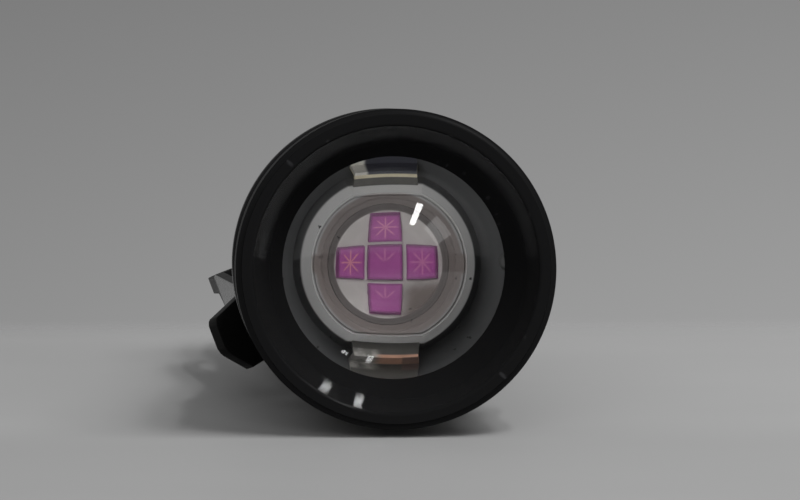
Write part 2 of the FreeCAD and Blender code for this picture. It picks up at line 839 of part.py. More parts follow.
# Driver: round board behind the pill's hollow, with its parts on the front and its spring on the back
driver_board = turned(
    "driver_board",
    [(0, driver_front), (driver_radius, driver_front), (driver_radius, driver_back), (0, driver_back)],
)
inductor_front = driver_front - inductor_height
driver_inductor = turned(
    "driver_inductor",
    [
        (0, inductor_front),
        (inductor_radius, inductor_front),
        (inductor_radius, inductor_front + inductor_flange),
        (inductor_waist, inductor_front + inductor_flange),
        (inductor_waist, driver_front - inductor_flange),
        (inductor_radius, driver_front - inductor_flange),
        (inductor_radius, driver_front),
        (0, driver_front),
    ],
)
bind(driver_inductor, "Placement.Base.z", inductor_offset)
driver_chips = group(
    "driver_chips",
    [
        block(
            f"chip_{number + 1}",
            chip_pitch * (number - 1),
            driver_front - chip_height,
            -inductor_offset,
            chip_length,
            chip_height,
            chip_width,
        )
        for number in range(3)
    ],
)
driver_spring = coil("driver_spring", spring_radius, spring_radius, spring_wire, driver_back, cell_front, 2.5)
lead_wire_red = wire_run("lead_wire_red", 1)
lead_wire_black = wire_run("lead_wire_black", -1)

# Battery cell: sealed can with a raised button in front
cell_can_front = cell_front + cell_button_height
battery_cell = turned(
    "battery_cell",
    [
        (0, cell_front),
        (cell_button_radius, cell_front),
        (cell_button_radius, cell_can_front),
        (cell_radius - cell_rounding, cell_can_front),
        (cell_radius, cell_can_front + cell_rounding, cell_rounding),
        (cell_radius, cell_back - cell_rounding),
        (cell_radius - cell_rounding, cell_back, cell_rounding),
        (0, cell_back),
    ],
)

# Barrel: neck that the head slides on, cooling fins, squared grip, clip groove and tail thread
fins = []
for number in range(int(fin_count.value)):
    slot = shoulder_front + fin_width + (fin_width + fin_slot) * number
    fins += [
        (fin_radius, slot),
        (fin_radius - fin_depth, slot),
        (fin_radius - fin_depth, slot + fin_slot),
        (fin_radius, slot + fin_slot),
    ]
grip_length = clip_groove_front - grip_front
grip_pitch = grip_length / (grip_groove_count + 1)
grip_grooves = []
for number in range(int(grip_groove_count.value)):
    start = grip_front + grip_pitch * (number + 1) - grip_groove_width / 2
    grip_grooves += [
        (barrel_radius, start),
        (barrel_radius - grip_groove_depth, start + grip_groove_width / 2),
        (barrel_radius, start + grip_groove_width),
    ]
barrel = turned(
    "barrel",
    [
        (pill_stub_radius + seat_clearance, barrel_front),
        (neck_radius, barrel_front),
        (neck_radius, shoulder_front),
        (fin_radius - edge_chamfer, shoulder_front),
        (fin_radius, shoulder_front + edge_chamfer),
        *fins,
        (fin_radius, fins_back),
        (barrel_radius, grip_front),
        *grip_grooves,
        (barrel_radius, clip_groove_front),
        (clip_groove_radius, clip_groove_front),
        (clip_groove_radius, flange_front),
        (barrel_radius, flange_front),
        (barrel_radius, flange_back),
        (thread_radius, flange_back),
        (thread_radius, tail_groove_front),
        (tail_groove_radius, tail_groove_front),
        (tail_groove_radius, thread_front),
        (thread_radius, thread_front),
        (thread_radius, barrel_back),
        (cell_bore, barrel_back),
        (cell_bore, barrel_step),
        (pill_stub_radius + seat_clearance, barrel_step),
    ],
)
flutes(
    barrel,
    "grip_flute",
    barrel_radius,
    grip_groove_depth,
    grip_flute_radius,
    grip_flute_count,
    grip_front + grip_groove_width,
    grip_length - 2 * grip_groove_width,
)

# Pocket clip: one bent strip of spring steel, a split clamp ring and an arm that points forward
clamp_inner = clip_groove_radius + running_clearance
clamp_outer = clamp_inner + clip_thickness
clamp_front = clip_groove_front + 2 * running_clearance
clamp_back = clamp_front + clamp_width
bend_middle = clamp_inner + clip_thickness / 2 + clip_bend
bend_inner = clip_bend - clip_thickness / 2
bend_outer = clip_bend + clip_thickness / 2
heel_inner = fin_radius + clip_heel_gap
heel_outer = heel_inner + clip_thickness
tip_inner = clip_tip_radius - clip_thickness

clamp = new_body("clip_clamp")
clamp_sketch = sketch_on(clamp, "clamp_section", "XY_Plane")
rectangle(clamp_sketch, clamp_inner, clamp_outer, clamp_front, clamp_back)
doc.recompute()
clamp_ring = clamp.newObject("PartDesign::Revolution", "clamp_ring")
clamp_ring.Profile = clamp_sketch
clamp_ring.ReferenceAxis = (clamp_sketch, ["V_Axis"])
clamp_ring.Midplane = True
bind(clamp_ring, "Angle", 360 - clamp_opening)
doc.recompute()

arm_side = new_body("clip_arm_side")
side_sketch = sketch_on(arm_side, "arm_side_outline", "XY_Plane")
draw_outline(
    side_sketch,
    [
        (clamp_inner, clamp_back - clip_thickness),
        (clamp_inner, clamp_back),
        (bend_middle, clamp_back + bend_outer, -bend_outer),
        (bend_middle + bend_outer, clamp_back, -bend_outer),
        (heel_outer, clip_heel_station),
        (clip_tip_radius, clip_tip_station),
        (tip_inner, clip_tip_station),
        (heel_inner, clip_heel_station + clip_thickness / 2),
        (bend_middle + bend_inner, clamp_back),
        (bend_middle, clamp_back + bend_inner, bend_inner),
        (clamp_outer, clamp_back, bend_inner),
        (clamp_outer, clamp_back - clip_thickness),
    ],
)
doc.recompute()
side_pad = arm_side.newObject("PartDesign::Pad", "arm_strip")
side_pad.Profile = side_sketch
side_pad.Midplane = True
bind(side_pad, "Length", clip_half_width * 4)
doc.recompute()

arm_plan = new_body("clip_arm_plan")
plan_sketch = sketch_on(arm_plan, "arm_plan_outline", "YZ_Plane")
neck_edge = clip_neck_width - clip_half_width
neck_front = clamp_back - clip_neck_length
beyond_bend = clamp_back + 2 * bend_outer
draw_outline(
    plan_sketch,
    [
        (clip_tip_station, -clip_tip_half_width),
        (clip_tip_station + clip_flare_length, -clip_half_width),
        (beyond_bend, -clip_half_width),
        (beyond_bend, neck_edge),
        (neck_front, neck_edge),
        (neck_front - clip_shoulder_length, clip_half_width),
        (clip_tip_station + clip_flare_length, clip_half_width),
        (clip_tip_station, clip_tip_half_width),
    ],
)
doc.recompute()
plan_pad = arm_plan.newObject("PartDesign::Pad", "arm_plan_block")
plan_pad.Profile = plan_sketch
bind(plan_pad, "Length", clip_tip_radius + clip_thickness)
doc.recompute()

arm = doc.addObject("Part::MultiCommon", "clip_arm")
arm.Shapes = [arm_side, arm_plan]
pocket_clip = doc.addObject("Part::MultiFuse", "pocket_clip")
pocket_clip.Label = "pocket_clip"
pocket_clip.Shapes = [clamp, arm]
pocket_clip.Refine = True
pocket_clip.Placement = FreeCAD.Placement(Vector(0, 0, 0), FreeCAD.Rotation(Vector(0, 1, 0), 0))
bind(pocket_clip, "Placement.Rotation.Axis.y", 1)
bind(pocket_clip, "Placement.Rotation.Angle", 180 - clip_angle)

tail_o_ring = torus("tail_o_ring", tail_seal_radius, tail_seal_section, tail_groove_station)

# Tail cap: screws over the barrel's thread. Its raised fluted band also keeps the torch from rolling,
# and its end flange has a lanyard hole
tail_cap = turned(
    "tail_cap",
    [
        (seal_bore, cap_front),
        (cap_land_radius - edge_chamfer, cap_front),
        (cap_land_radius, cap_front + edge_chamfer),
        (cap_land_radius, cap_band_front),
        (cap_radius, cap_band_front + cap_land_depth),
        (cap_radius, cap_band_back - cap_land_depth),
        (cap_land_radius, cap_band_back),
        (cap_land_radius, cap_back - edge_chamfer),
        (cap_land_radius - edge_chamfer, cap_back),
        (boot_radius + boot_hole_clearance, cap_back),
        (boot_radius + boot_hole_clearance, boot_seat),
        (cap_inner, boot_seat),
        (cap_inner, switch_board_back),
        (cap_bore, switch_board_back),
        (cap_bore, ring_front - seat_clearance / 2),
        (thread_radius + thread_clearance, ring_front - seat_clearance / 2),
        (thread_radius + thread_clearance, thread_front + thread_clearance),
        (seal_bore, thread_front + thread_clearance),
    ],
)
flutes(
    tail_cap,
    "cap_flute",
    cap_radius,
    cap_flute_depth,
    cap_flute_radius,
    cap_flute_count,
    cap_band_front,
    cap_band_back - cap_band_front,
    lowest=True,
)
lanyard_circle = cap_land_radius - lanyard_wall - lanyard_radius
notch_floor = lanyard_circle - lanyard_radius
cut_along(
    tail_cap,
    "lanyard_notch",
    lambda sketch: rectangle(
        sketch, -lanyard_notch_width / 2, lanyard_notch_width / 2, notch_floor, cap_radius + lanyard_wall
    ),
    cap_band_back - lanyard_notch_length,
    lanyard_notch_length,
)
cut_along(
    tail_cap,
    "lanyard_hole",
    lambda sketch: draw_circle(sketch, 0, lanyard_circle, lanyard_radius),
    cap_band_back,
    cap_end_flange,
)

def dome_curve(radius, rise):
    """The radius of a shallow dome from its foot radius and its rise."""
    return (radius * radius + rise * rise) / (rise * 2)


# Switch boot: moulded rubber, its flange clamped behind the cap's end wall
boot_cavity = boot_radius - boot_wall
boot_rise = boot_stand_out - boot_skirt
switch_boot = turned(
    "switch_boot",
    [
        (boot_cavity, washer_back),
        (cap_inner - boot_hole_clearance, washer_back),
        (cap_inner - boot_hole_clearance, boot_seat),
        (boot_radius, boot_seat),
        (boot_radius, cap_back + boot_skirt),
        (boot_crown, boot_tip, dome_curve(boot_radius - boot_crown, boot_rise)),
        (0, boot_tip),
        (0, boot_tip - boot_wall),
        (boot_crown, boot_tip - boot_wall),
        (boot_cavity, cap_back + boot_skirt - boot_wall, -dome_curve(boot_cavity - boot_crown, boot_rise)),
    ],
)
boot_washer = turned(
    "boot_washer",
    [
        (washer_hole, switch_back),
        (cap_inner - boot_hole_clearance, switch_back),
        (cap_inner - boot_hole_clearance, washer_back),
        (washer_hole, washer_back),
    ],
)
switch_retaining_ring = turned(
    "switch_retaining_ring",
    [
        (retaining_ring_hole, ring_front),
        (switch_board_radius, ring_front),
        (switch_board_radius, switch_board_front),
        (retaining_ring_hole, switch_board_front),
    ],
)
wrench_notches(
    switch_retaining_ring,
    "switch_ring_notch",
    switch_board_radius + wrench_notch_depth,
    retaining_ring_hole - wrench_notch_depth,
    ring_front,
)
switch_board = turned(
    "switch_board",
    [
        (0, switch_board_front),
        (switch_board_radius, switch_board_front),
        (switch_board_radius, switch_board_back),
        (0, switch_board_back),
    ],
)
terminal_slot = terminal_width / 2 + seat_clearance
for number, side in enumerate((1, -1)):
    cut_along(
        switch_board,
        f"terminal_slot_{number + 1}",
        lambda sketch: rectangle(
            sketch,
            terminal_offset * side - terminal_slot,
            terminal_offset * side + terminal_slot,
            -terminal_slot,
            terminal_slot,
        ),
        switch_board_front,
        switch_board_thickness,
    )

# Switch: housing with a captive plunger on a coil spring
switch_housing = turned(
    "switch_housing",
    [
        (0, switch_board_back),
        (switch_radius, switch_board_back),
        (switch_radius, switch_back),
        (plunger_radius + running_clearance, switch_back),
        (plunger_radius + running_clearance, switch_back - switch_roof),
        (switch_cavity_radius, switch_back - switch_roof),
        (switch_cavity_radius, cavity_front),
        (0, cavity_front),
    ],
)
terminal_length = switch_board_thickness + terminal_stand_out
switch_terminals = group(
    "switch_terminals",
    [
        block(
            f"terminal_{number + 1}",
            terminal_offset * side,
            switch_board_front - terminal_stand_out,
            0,
            terminal_width,
            terminal_length,
            terminal_width,
        )
        for number, side in enumerate((1, -1))
    ],
)
switch_plunger = turned(
    "switch_plunger",
    [
        (0, plunger_flange_front),
        (plunger_flange_radius, plunger_flange_front),
        (plunger_flange_radius, plunger_flange_back),
        (plunger_radius, plunger_flange_back),
        (plunger_radius, plunger_tip - edge_chamfer),
        (plunger_radius - edge_chamfer, plunger_tip),
        (0, plunger_tip),
    ],
)
switch_spring = coil(
    "switch_spring",
    switch_spring_radius,
    switch_spring_radius,
    switch_wire,
    cavity_front,
    plunger_flange_front,
    2.5,
)
tail_spring = coil(
    "tail_spring",
    tail_spring_radius,
    tail_spring_base,
    tail_wire,
    cell_back,
    switch_board_front,
    2.0,
)

pieces = [
    head_shell,
    lens,
    lens_seal,
    lens_retaining_ring,
    head_glide_o_ring,
    pill,
    star_board,
    emitter_housing,
    emitter_slug,
    emitter_dies,
    emitter_dome,
    emitter_lead_positive,
    emitter_lead_negative,
    driver_board,
    driver_inductor,
    driver_chips,
    driver_spring,
    lead_wire_red,
    lead_wire_black,
    battery_cell,
    barrel,
    pocket_clip,
    tail_o_ring,
    tail_cap,
    switch_boot,
    boot_washer,
    switch_retaining_ring,
    switch_board,
    switch_housing,
    switch_terminals,
    switch_plunger,
    switch_spring,
    tail_spring,
]

doc.recompute()
for item in doc.Objects:
    if "Invalid" in item.State or "Error" in item.State:
        raise RuntimeError(f"{item.Name} failed: {item.State}")
for piece in pieces:
    if piece.Shape.isNull() or not piece.Shape.isValid() or not piece.Shape.Solids:
        raise RuntimeError(f"{piece.Label} has no sound solid")

os.makedirs("parts", exist_ok=True)
for piece in pieces:
    piece.Shape.exportStep(f"parts/{piece.Label}.step")
    print(f"{piece.Label}: {len(piece.Shape.Solids)} solid, {piece.Shape.Volume:.1f} mm3")
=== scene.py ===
import math

import bmesh
import bpy
import numpy as np
from mathutils import Matrix, Vector


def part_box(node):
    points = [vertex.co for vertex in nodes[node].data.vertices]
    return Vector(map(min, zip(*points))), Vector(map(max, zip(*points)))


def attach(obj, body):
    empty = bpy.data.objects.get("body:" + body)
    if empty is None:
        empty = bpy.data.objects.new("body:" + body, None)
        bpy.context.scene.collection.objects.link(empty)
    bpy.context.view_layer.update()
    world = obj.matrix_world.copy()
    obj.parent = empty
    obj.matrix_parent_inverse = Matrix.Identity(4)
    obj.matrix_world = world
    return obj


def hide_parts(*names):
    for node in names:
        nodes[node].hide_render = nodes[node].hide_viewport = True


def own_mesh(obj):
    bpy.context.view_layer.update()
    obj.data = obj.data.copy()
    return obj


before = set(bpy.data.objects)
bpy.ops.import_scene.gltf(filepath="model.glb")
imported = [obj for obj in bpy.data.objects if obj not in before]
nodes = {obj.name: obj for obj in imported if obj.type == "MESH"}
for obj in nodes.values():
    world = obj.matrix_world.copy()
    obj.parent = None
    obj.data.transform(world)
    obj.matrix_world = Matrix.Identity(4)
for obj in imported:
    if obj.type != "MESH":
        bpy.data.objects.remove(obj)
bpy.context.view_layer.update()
MM = 0.001


# The view. The torch lies on its head's rim and its tail cap, so its axis droops a little towards the tail
# and the table is tilted in the torch's own frame. The camera looks almost along the axis, from above left.
PHOTO_WIDTH = 800
PHOTO_HEIGHT = 500
FOCAL_PIXELS = 5963
RIM_CENTRE_PIXEL = (396.5, 269.5)
CAMERA_PLACE = Vector((-22.6, -500, 14.3)) * MM
HEAD_CONTACT = 19.3 * MM
TAIL_CONTACT = 89.7 * MM
SENSOR_WIDTH = 36

head_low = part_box("head_shell")[0].z
tail_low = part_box("tail_cap")[0].z
floor_slope = (tail_low - head_low) / (TAIL_CONTACT - HEAD_CONTACT)
floor_up = Vector((0, -floor_slope, 1)).normalized()
view_line = -CAMERA_PLACE.normalized()
view_right = view_line.cross(floor_up).normalized()
view_up = view_right.cross(view_line)
right_shift = (PHOTO_WIDTH / 2 - RIM_CENTRE_PIXEL[0]) / FOCAL_PIXELS
up_shift = (RIM_CENTRE_PIXEL[1] - PHOTO_HEIGHT / 2) / FOCAL_PIXELS
forward = (view_line + view_right * right_shift + view_up * up_shift).normalized()
right = forward.cross(floor_up).normalized()
camera_data = bpy.data.cameras.new("camera")
camera = bpy.data.objects.new("camera", camera_data)
bpy.context.scene.collection.objects.link(camera)
camera_data.sensor_width = SENSOR_WIDTH
camera_data.lens = SENSOR_WIDTH * FOCAL_PIXELS / PHOTO_WIDTH
camera_data.clip_start = 10 * MM
camera.matrix_world = Matrix.Translation(CAMERA_PLACE) @ Matrix(
    (right, right.cross(forward), -forward)
).transposed().to_4x4()
bpy.context.scene.camera = camera
bpy.context.scene.view_settings.view_transform = "Standard"


# Surfaces. A finish is worked out as Python arithmetic on shader sockets.
class Signal:
    """A shader socket that takes part in Python arithmetic."""

    def __init__(self, tree, socket=None):
        self.tree = tree
        self.socket = socket

    def node(self, kind, settings=None, output=0, **inputs):
        made = self.tree.nodes.new(kind)
        for name, value in (settings or {}).items():
            if name == "stops":
                ramp = made.color_ramp.elements
                while len(ramp) < len(value):
                    ramp.new(0.5)
                for stop, (place, level) in zip(ramp, value):
                    stop.position = place
                    stop.color = (level, level, level, 1) if isinstance(level, (int, float)) else (*level, 1)
            else:
                setattr(made, name, value)
        for name, value in inputs.items():
            key = int(name[1:]) if name[0] == "_" else name.replace("_", " ")
            if isinstance(value, Signal):
                self.tree.links.new(value.socket, made.inputs[key])
            else:
                made.inputs[key].default_value = value
        return Signal(self.tree, made.outputs[output])

    def maths(self, operation, *values):
        return self.node("ShaderNodeMath", {"operation": operation}, **{f"_{i}": v for i, v in enumerate(values)})

    def __add__(self, other):
        return self.maths("ADD", self, other)

    def __radd__(self, other):
        return self.maths("ADD", other, self)

    def __sub__(self, other):
        return self.maths("SUBTRACT", self, other)

    def __rsub__(self, other):
        return self.maths("SUBTRACT", other, self)

    def __mul__(self, other):
        return self.maths("MULTIPLY", self, other)

    def __rmul__(self, other):
        return self.maths("MULTIPLY", other, self)

    def __truediv__(self, other):
        return self.maths("DIVIDE", self, other)

    def __pow__(self, other):
        return self.maths("POWER", self, other)

    def __abs__(self):
        return self.maths("ABSOLUTE", self)

    def smooth(self, low, high):
        """0 below low, 1 above high, and a smooth step between them; high may be the lower one."""
        return self.node(
            "ShaderNodeMapRange", {"interpolation_type": "SMOOTHSTEP"}, Value=self, From_Min=low, From_Max=high
        )

    def tint(self, dark, light):
        """A colour between two, by this signal from 0 to 1."""
        as_colour = [v if isinstance(v, Signal) else (*v, 1) for v in (dark, light)]
        mix = {"data_type": "RGBA"}
        return self.node("ShaderNodeMix", mix, 2, _0=self, _6=as_colour[0], _7=as_colour[1])

    def place(self):
        return self.node("ShaderNodeTexCoord", output=3)

    def along(self, axis):
        """One coordinate of a point on the piece, in metres."""
        return self.node("ShaderNodeSeparateXYZ", output="XYZ".index(axis), _0=self.place())

    def radius(self):
        """The distance from the torch's axis, in metres."""
        return self.maths("SQRT", self.along("X") ** 2 + self.along("Z") ** 2)

    def noise(self, grain, detail=3, rough=0.5, stretch=(1, 1, 1)):
        """Cloudy noise from 0 to 1 whose patches are about one grain across, in metres."""
        scaled = self.node(
            "ShaderNodeVectorMath", {"operation": "MULTIPLY"}, _0=self.place(), _1=tuple(s / grain for s in stretch)
        )
        return self.node("ShaderNodeTexNoise", Vector=scaled, Scale=1.0, Detail=detail, Roughness=rough)

    def bump(self, height, depth):
        """A normal from a height signal from 0 to 1, for a relief that is depth metres deep."""
        return self.node("ShaderNodeBump", Strength=1.0, Distance=depth, Height=height)


def finish(name, **constant):
    """A material with a Principled shader. Gives the material, its shader node and a start for arithmetic."""
    made = bpy.data.materials.new(name)
    made.use_nodes = True
    shader = made.node_tree.nodes["Principled BSDF"]
    for key, value in constant.items():
        shader.inputs[key.replace("_", " ")].default_value = value
    return made, shader, Signal(made.node_tree)


def wire_up(shader, **signals):
    """Link signals to a shader's sockets."""
    for key, signal in signals.items():
        signal.tree.links.new(signal.socket, shader.inputs[key.replace("_", " ")])


def show_mix(made, factor, first, second):
    """Let a material show a mix of two shaders, the second one where the factor is 1."""
    surface = factor.node("ShaderNodeMixShader", _0=factor, _1=first, _2=second)
    made.node_tree.links.new(surface.socket, made.node_tree.nodes["Material Output"].inputs["Surface"])


def grey(level):
    """A colour without a hue."""
    return (level, level, level)


def dress(piece, made):
    """Give a piece, its own or a CAD node, one material all over."""
    piece.data.materials.clear()
    piece.data.materials.append(made)
    return piece


# The stage: a pale matt table top whose edges fade out softly, with painted light that makes it lighter on the right
# and painted shade that makes it darker in front, and a plain grey wall far behind it, which is the world's own
# colour.
FLOOR_SIDE = 240 * MM
FLOOR_FRONT = -190 * MM
FLOOR_BACK = 140 * MM
FLOOR_FADE = 32 * MM
FLOOR_CLOUDS = 60 * MM
floor_corners = [
    Vector((x, y, head_low + (y - HEAD_CONTACT) * floor_slope))
    for x, y in (
        (-FLOOR_SIDE, FLOOR_FRONT),
        (FLOOR_SIDE, FLOOR_FRONT),
        (FLOOR_SIDE, FLOOR_BACK),
        (-FLOOR_SIDE, FLOOR_BACK),
    )
]
floor_mesh = bpy.data.meshes.new("table_top")
floor_mesh.from_pydata(floor_corners, [], [(0, 1, 2, 3)])
table_top = bpy.data.objects.new("table_top", floor_mesh)
bpy.context.scene.collection.objects.link(table_top)
paper, paper_shader, start = finish("pale_table", Roughness=0.55)
paper_shader.inputs["Specular IOR Level"].default_value = 0.3
# Painted light across the table, lighter towards +X, with clouds of the paper's own tone; painted shade in front.
across = (start.along("X") / FLOOR_SIDE * 0.5 + 0.5) + (start.noise(FLOOR_CLOUDS) - 0.5) * 0.2
y_here = start.along("Y")
painted_front_shade = y_here.smooth(20 * MM, -10 * MM)
far_grey = across.tint(grey(0.178), grey(0.37))
near_grey = across.tint(grey(0.158), grey(0.335))
wire_up(paper_shader, Base_Color=painted_front_shade.tint(far_grey, near_grey))
shown = (
    y_here.smooth(FLOOR_BACK, FLOOR_BACK - FLOOR_FADE)
    * y_here.smooth(FLOOR_FRONT, FLOOR_FRONT + FLOOR_FADE)
    * abs(start.along("X")).smooth(FLOOR_SIDE, FLOOR_SIDE - FLOOR_FADE)
)
clear = start.node("ShaderNodeBsdfTransparent")
show_mix(paper, shown, clear, Signal(paper.node_tree, paper_shader.outputs[0]))
dress(table_top, paper)

# The wall is darker towards its top and on the left. The room behind the camera is dark, and all of it lights the
# torch evenly.
WALL_FOOT, WALL_TOP = 0.325, 0.235
WALL_LEFT, WALL_RIGHT = 0.87, 1.06
DARK_ROOM = 0.05
ROOM_LIGHT = 0.5
world = bpy.data.worlds.new("studio")
bpy.context.scene.world = world
world.use_nodes = True
backdrop = world.node_tree.nodes["Background"]
backdrop.inputs["Color"].default_value = (1, 1, 1, 1)
sky = Signal(world.node_tree)
gaze = sky.node("ShaderNodeTexCoord", output=0)
gaze_x, gaze_y, gaze_z = (sky.node("ShaderNodeSeparateXYZ", output=axis, _0=gaze) for axis in range(3))
by_height = {"From_Min": -0.042, "From_Max": 0.017, "To_Min": WALL_FOOT, "To_Max": WALL_TOP}
by_side = {"From_Min": -0.02, "From_Max": 0.11, "To_Min": WALL_LEFT, "To_Max": WALL_RIGHT}
wall = sky.node("ShaderNodeMapRange", Value=gaze_z, **by_height)
wall = wall * sky.node("ShaderNodeMapRange", Value=gaze_x, **by_side)
ahead = gaze_y.smooth(-0.2, 0.5)
level = wall * ahead + (1 - ahead) * DARK_ROOM
ray = sky.node("ShaderNodeLightPath")
direct = 0
for kind in ("Is Camera Ray", "Is Glossy Ray", "Is Transmission Ray"):
    direct = sky.maths("MAXIMUM", direct, Signal(world.node_tree, ray.socket.node.outputs[kind]))
strength = level * direct + (1 - direct) * ROOM_LIGHT
world.node_tree.links.new(strength.socket, backdrop.inputs["Strength"])


# The lamps: a long tube overhead that shines on the lens, two slim ones that show in the funnel through the lens,
# a soft light above, a faint one on the right and a fill in front.
def lamp(name, polar, azimuth, distance, size, power):
    """An area lamp that faces the head. polar is its angle from the torch's own aim, azimuth from +X to +Z, both
    in degrees; distance and size are in metres, and power is in watts."""
    polar, azimuth = math.radians(polar), math.radians(azimuth)
    outward = Vector((math.cos(azimuth), 0, math.sin(azimuth)))
    place = outward * math.sin(polar) + Vector((0, -math.cos(polar), 0))
    along = outward * math.cos(polar) + Vector((0, math.sin(polar), 0))
    cross = place.cross(along)
    data = bpy.data.lights.new(name, "AREA")
    data.shape = "RECTANGLE"
    data.size, data.size_y = size
    data.energy = power
    made = bpy.data.objects.new(name, data)
    bpy.context.scene.collection.objects.link(made)
    axes = Matrix((along, cross, place)).transposed().to_4x4()
    made.matrix_world = Matrix.Translation(place * distance) @ axes
    return made


lamp("tube_lamp", 57, 65, 1.0, (0.44, 0.085), 2.5).visible_transmission = False
lamp("soft_lamp", 54, 38, 1.1, (0.3, 0.35), 0.6).visible_transmission = False
lamp("side_tube", 53, 74, 1.1, (0.44, 0.05), 3.6).visible_glossy = False
lamp("side_glow", 54, 59, 1.1, (0.2, 0.06), 0.5).visible_glossy = False
lamp("ceiling_lamp", 78, 60, 1.3, (0.6, 0.6), 8.0)
front_fill = lamp("front_fill", 21, 112, 1.1, (0.5, 0.5), 5.3)
front_fill.visible_glossy = False
front_fill.visible_transmission = False


# Head shell: one piece of aluminium turned on a lathe and anodised glossy black. In front it opens in a deep
# funnel round the lens, and behind the fluted band its ribbed sleeve slides on the barrel's neck.
ARC_STEPS = 6
HAIR = 0.001


def arc(start, end, radius, steps=24):
    """Points on an arc, its two ends left out. It bulges right of its way, or left with a negative radius."""
    start, end = Vector(start), Vector(end)
    chord = end - start
    bulge = Vector((chord.y, -chord.x)).normalized() * math.copysign(1, radius)
    reach = math.sqrt(radius * radius - (chord.length / 2) ** 2)
    centre = (start + end) / 2 - bulge * reach
    first, last = start - centre, end - centre
    turn = first.angle_signed(last)
    return [tuple(centre + Matrix.Rotation(-turn * i / steps, 2) @ first) for i in range(1, steps)]


def rounded(corners):
    """An outline from (radius, station, rounding) corners in millimetres; the rounding may be left out."""
    points = []
    for index, corner in enumerate(corners):
        place = Vector(corner[:2])
        if len(corner) < 3:
            points.append(tuple(place))
            continue
        back = (Vector(corners[index - 1][:2]) - place).normalized()
        ahead = (Vector(corners[(index + 1) % len(corners)][:2]) - place).normalized()
        half = back.angle(ahead) / 2
        start = place + back * corner[2] / math.tan(half)
        end = place + ahead * corner[2] / math.tan(half)
        side = 1 if back.x * ahead.y - back.y * ahead.x > 0 else -1
        points += [tuple(start), *arc(start, end, side * corner[2], ARC_STEPS), tuple(end)]
    return points


SAME_PLACE = 1e-7


def new_piece(name, body, points, faces, stands_for=(), sharp=32):
    """A mesh piece in metres, smooth shaded up to the sharp angle, that rides on a body."""
    mesh = bpy.data.meshes.new(name)
    mesh.from_pydata([tuple(p) for p in points], [], [tuple(f) for f in faces])
    shaped = bmesh.new()
    shaped.from_mesh(mesh)
    bmesh.ops.remove_doubles(shaped, verts=shaped.verts, dist=SAME_PLACE)
    bmesh.ops.recalc_face_normals(shaped, faces=shaped.faces)
    shaped.to_mesh(mesh)
    shaped.free()
    mesh.shade_smooth()
    mesh.set_sharp_from_angle(angle=math.radians(sharp))
    piece = bpy.data.objects.new(name, mesh)
    bpy.context.scene.collection.objects.link(piece)
    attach(piece, body)
    if stands_for:
        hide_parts(*stands_for)
    return piece


def turned(name, body, outline, stands_for=(), segments=256, cut=None):
    """A piece made on a lathe from an outline of (radius, station) points in millimetres. A cut changes radii."""
    outline = np.array(outline)
    closed = outline[0, 0] > 0 or outline[-1, 0] > 0
    angle = np.arange(segments) * 2 * np.pi / segments
    radius = outline[:, :1] + 0 * angle
    station = outline[:, 1:] + 0 * angle
    if cut:
        radius = cut(angle, radius, station)
    points = np.stack([radius * np.cos(angle), station, radius * np.sin(angle)], -1).reshape(-1, 3) * MM
    rows = len(outline) if closed else len(outline) - 1
    faces = []
    for row in range(rows):
        here, there = row * segments, (row + 1) % len(outline) * segments
        faces += [(here + k, here + (k + 1) % segments, there + (k + 1) % segments, there + k) for k in range(segments)]
    return new_piece(name, body, points, faces, stands_for)


def milled(radius, off, middle, cutter, soft):
    """Radii after a round cutter ran along the axis: off is the angle from it, middle the radius of its centre."""
    inside = np.maximum(cutter**2 - (middle * np.sin(off)) ** 2, 0)
    floor = np.where(inside > 0, middle * np.cos(off) - np.sqrt(inside), middle)
    blend = np.clip(0.5 + 0.5 * (floor - radius) / soft, 0, 1)
    lowered = floor * (1 - blend) + radius * blend - soft * blend * (1 - blend)
    return np.minimum(lowered, radius)


def fluted(count, surface, depth, cutter, front, back, soft=0.06):
    """A cut for turned: round-bottomed flutes along the axis between two stations, with softened edges."""

    def cut(angle, radius, station):
        off = (angle + np.pi / count) % (2 * np.pi / count) - np.pi / count
        fluting = (station > front) & (station < back) & (radius > surface - depth - 1)
        return np.where(fluting, milled(radius, off, surface - depth + cutter, cutter, soft), radius)

    return cut


def shoulder(radius, station):
    """Two rows a hair apart, between which flutes end squarely."""
    return [(radius, station - HAIR), (radius, station + HAIR)]


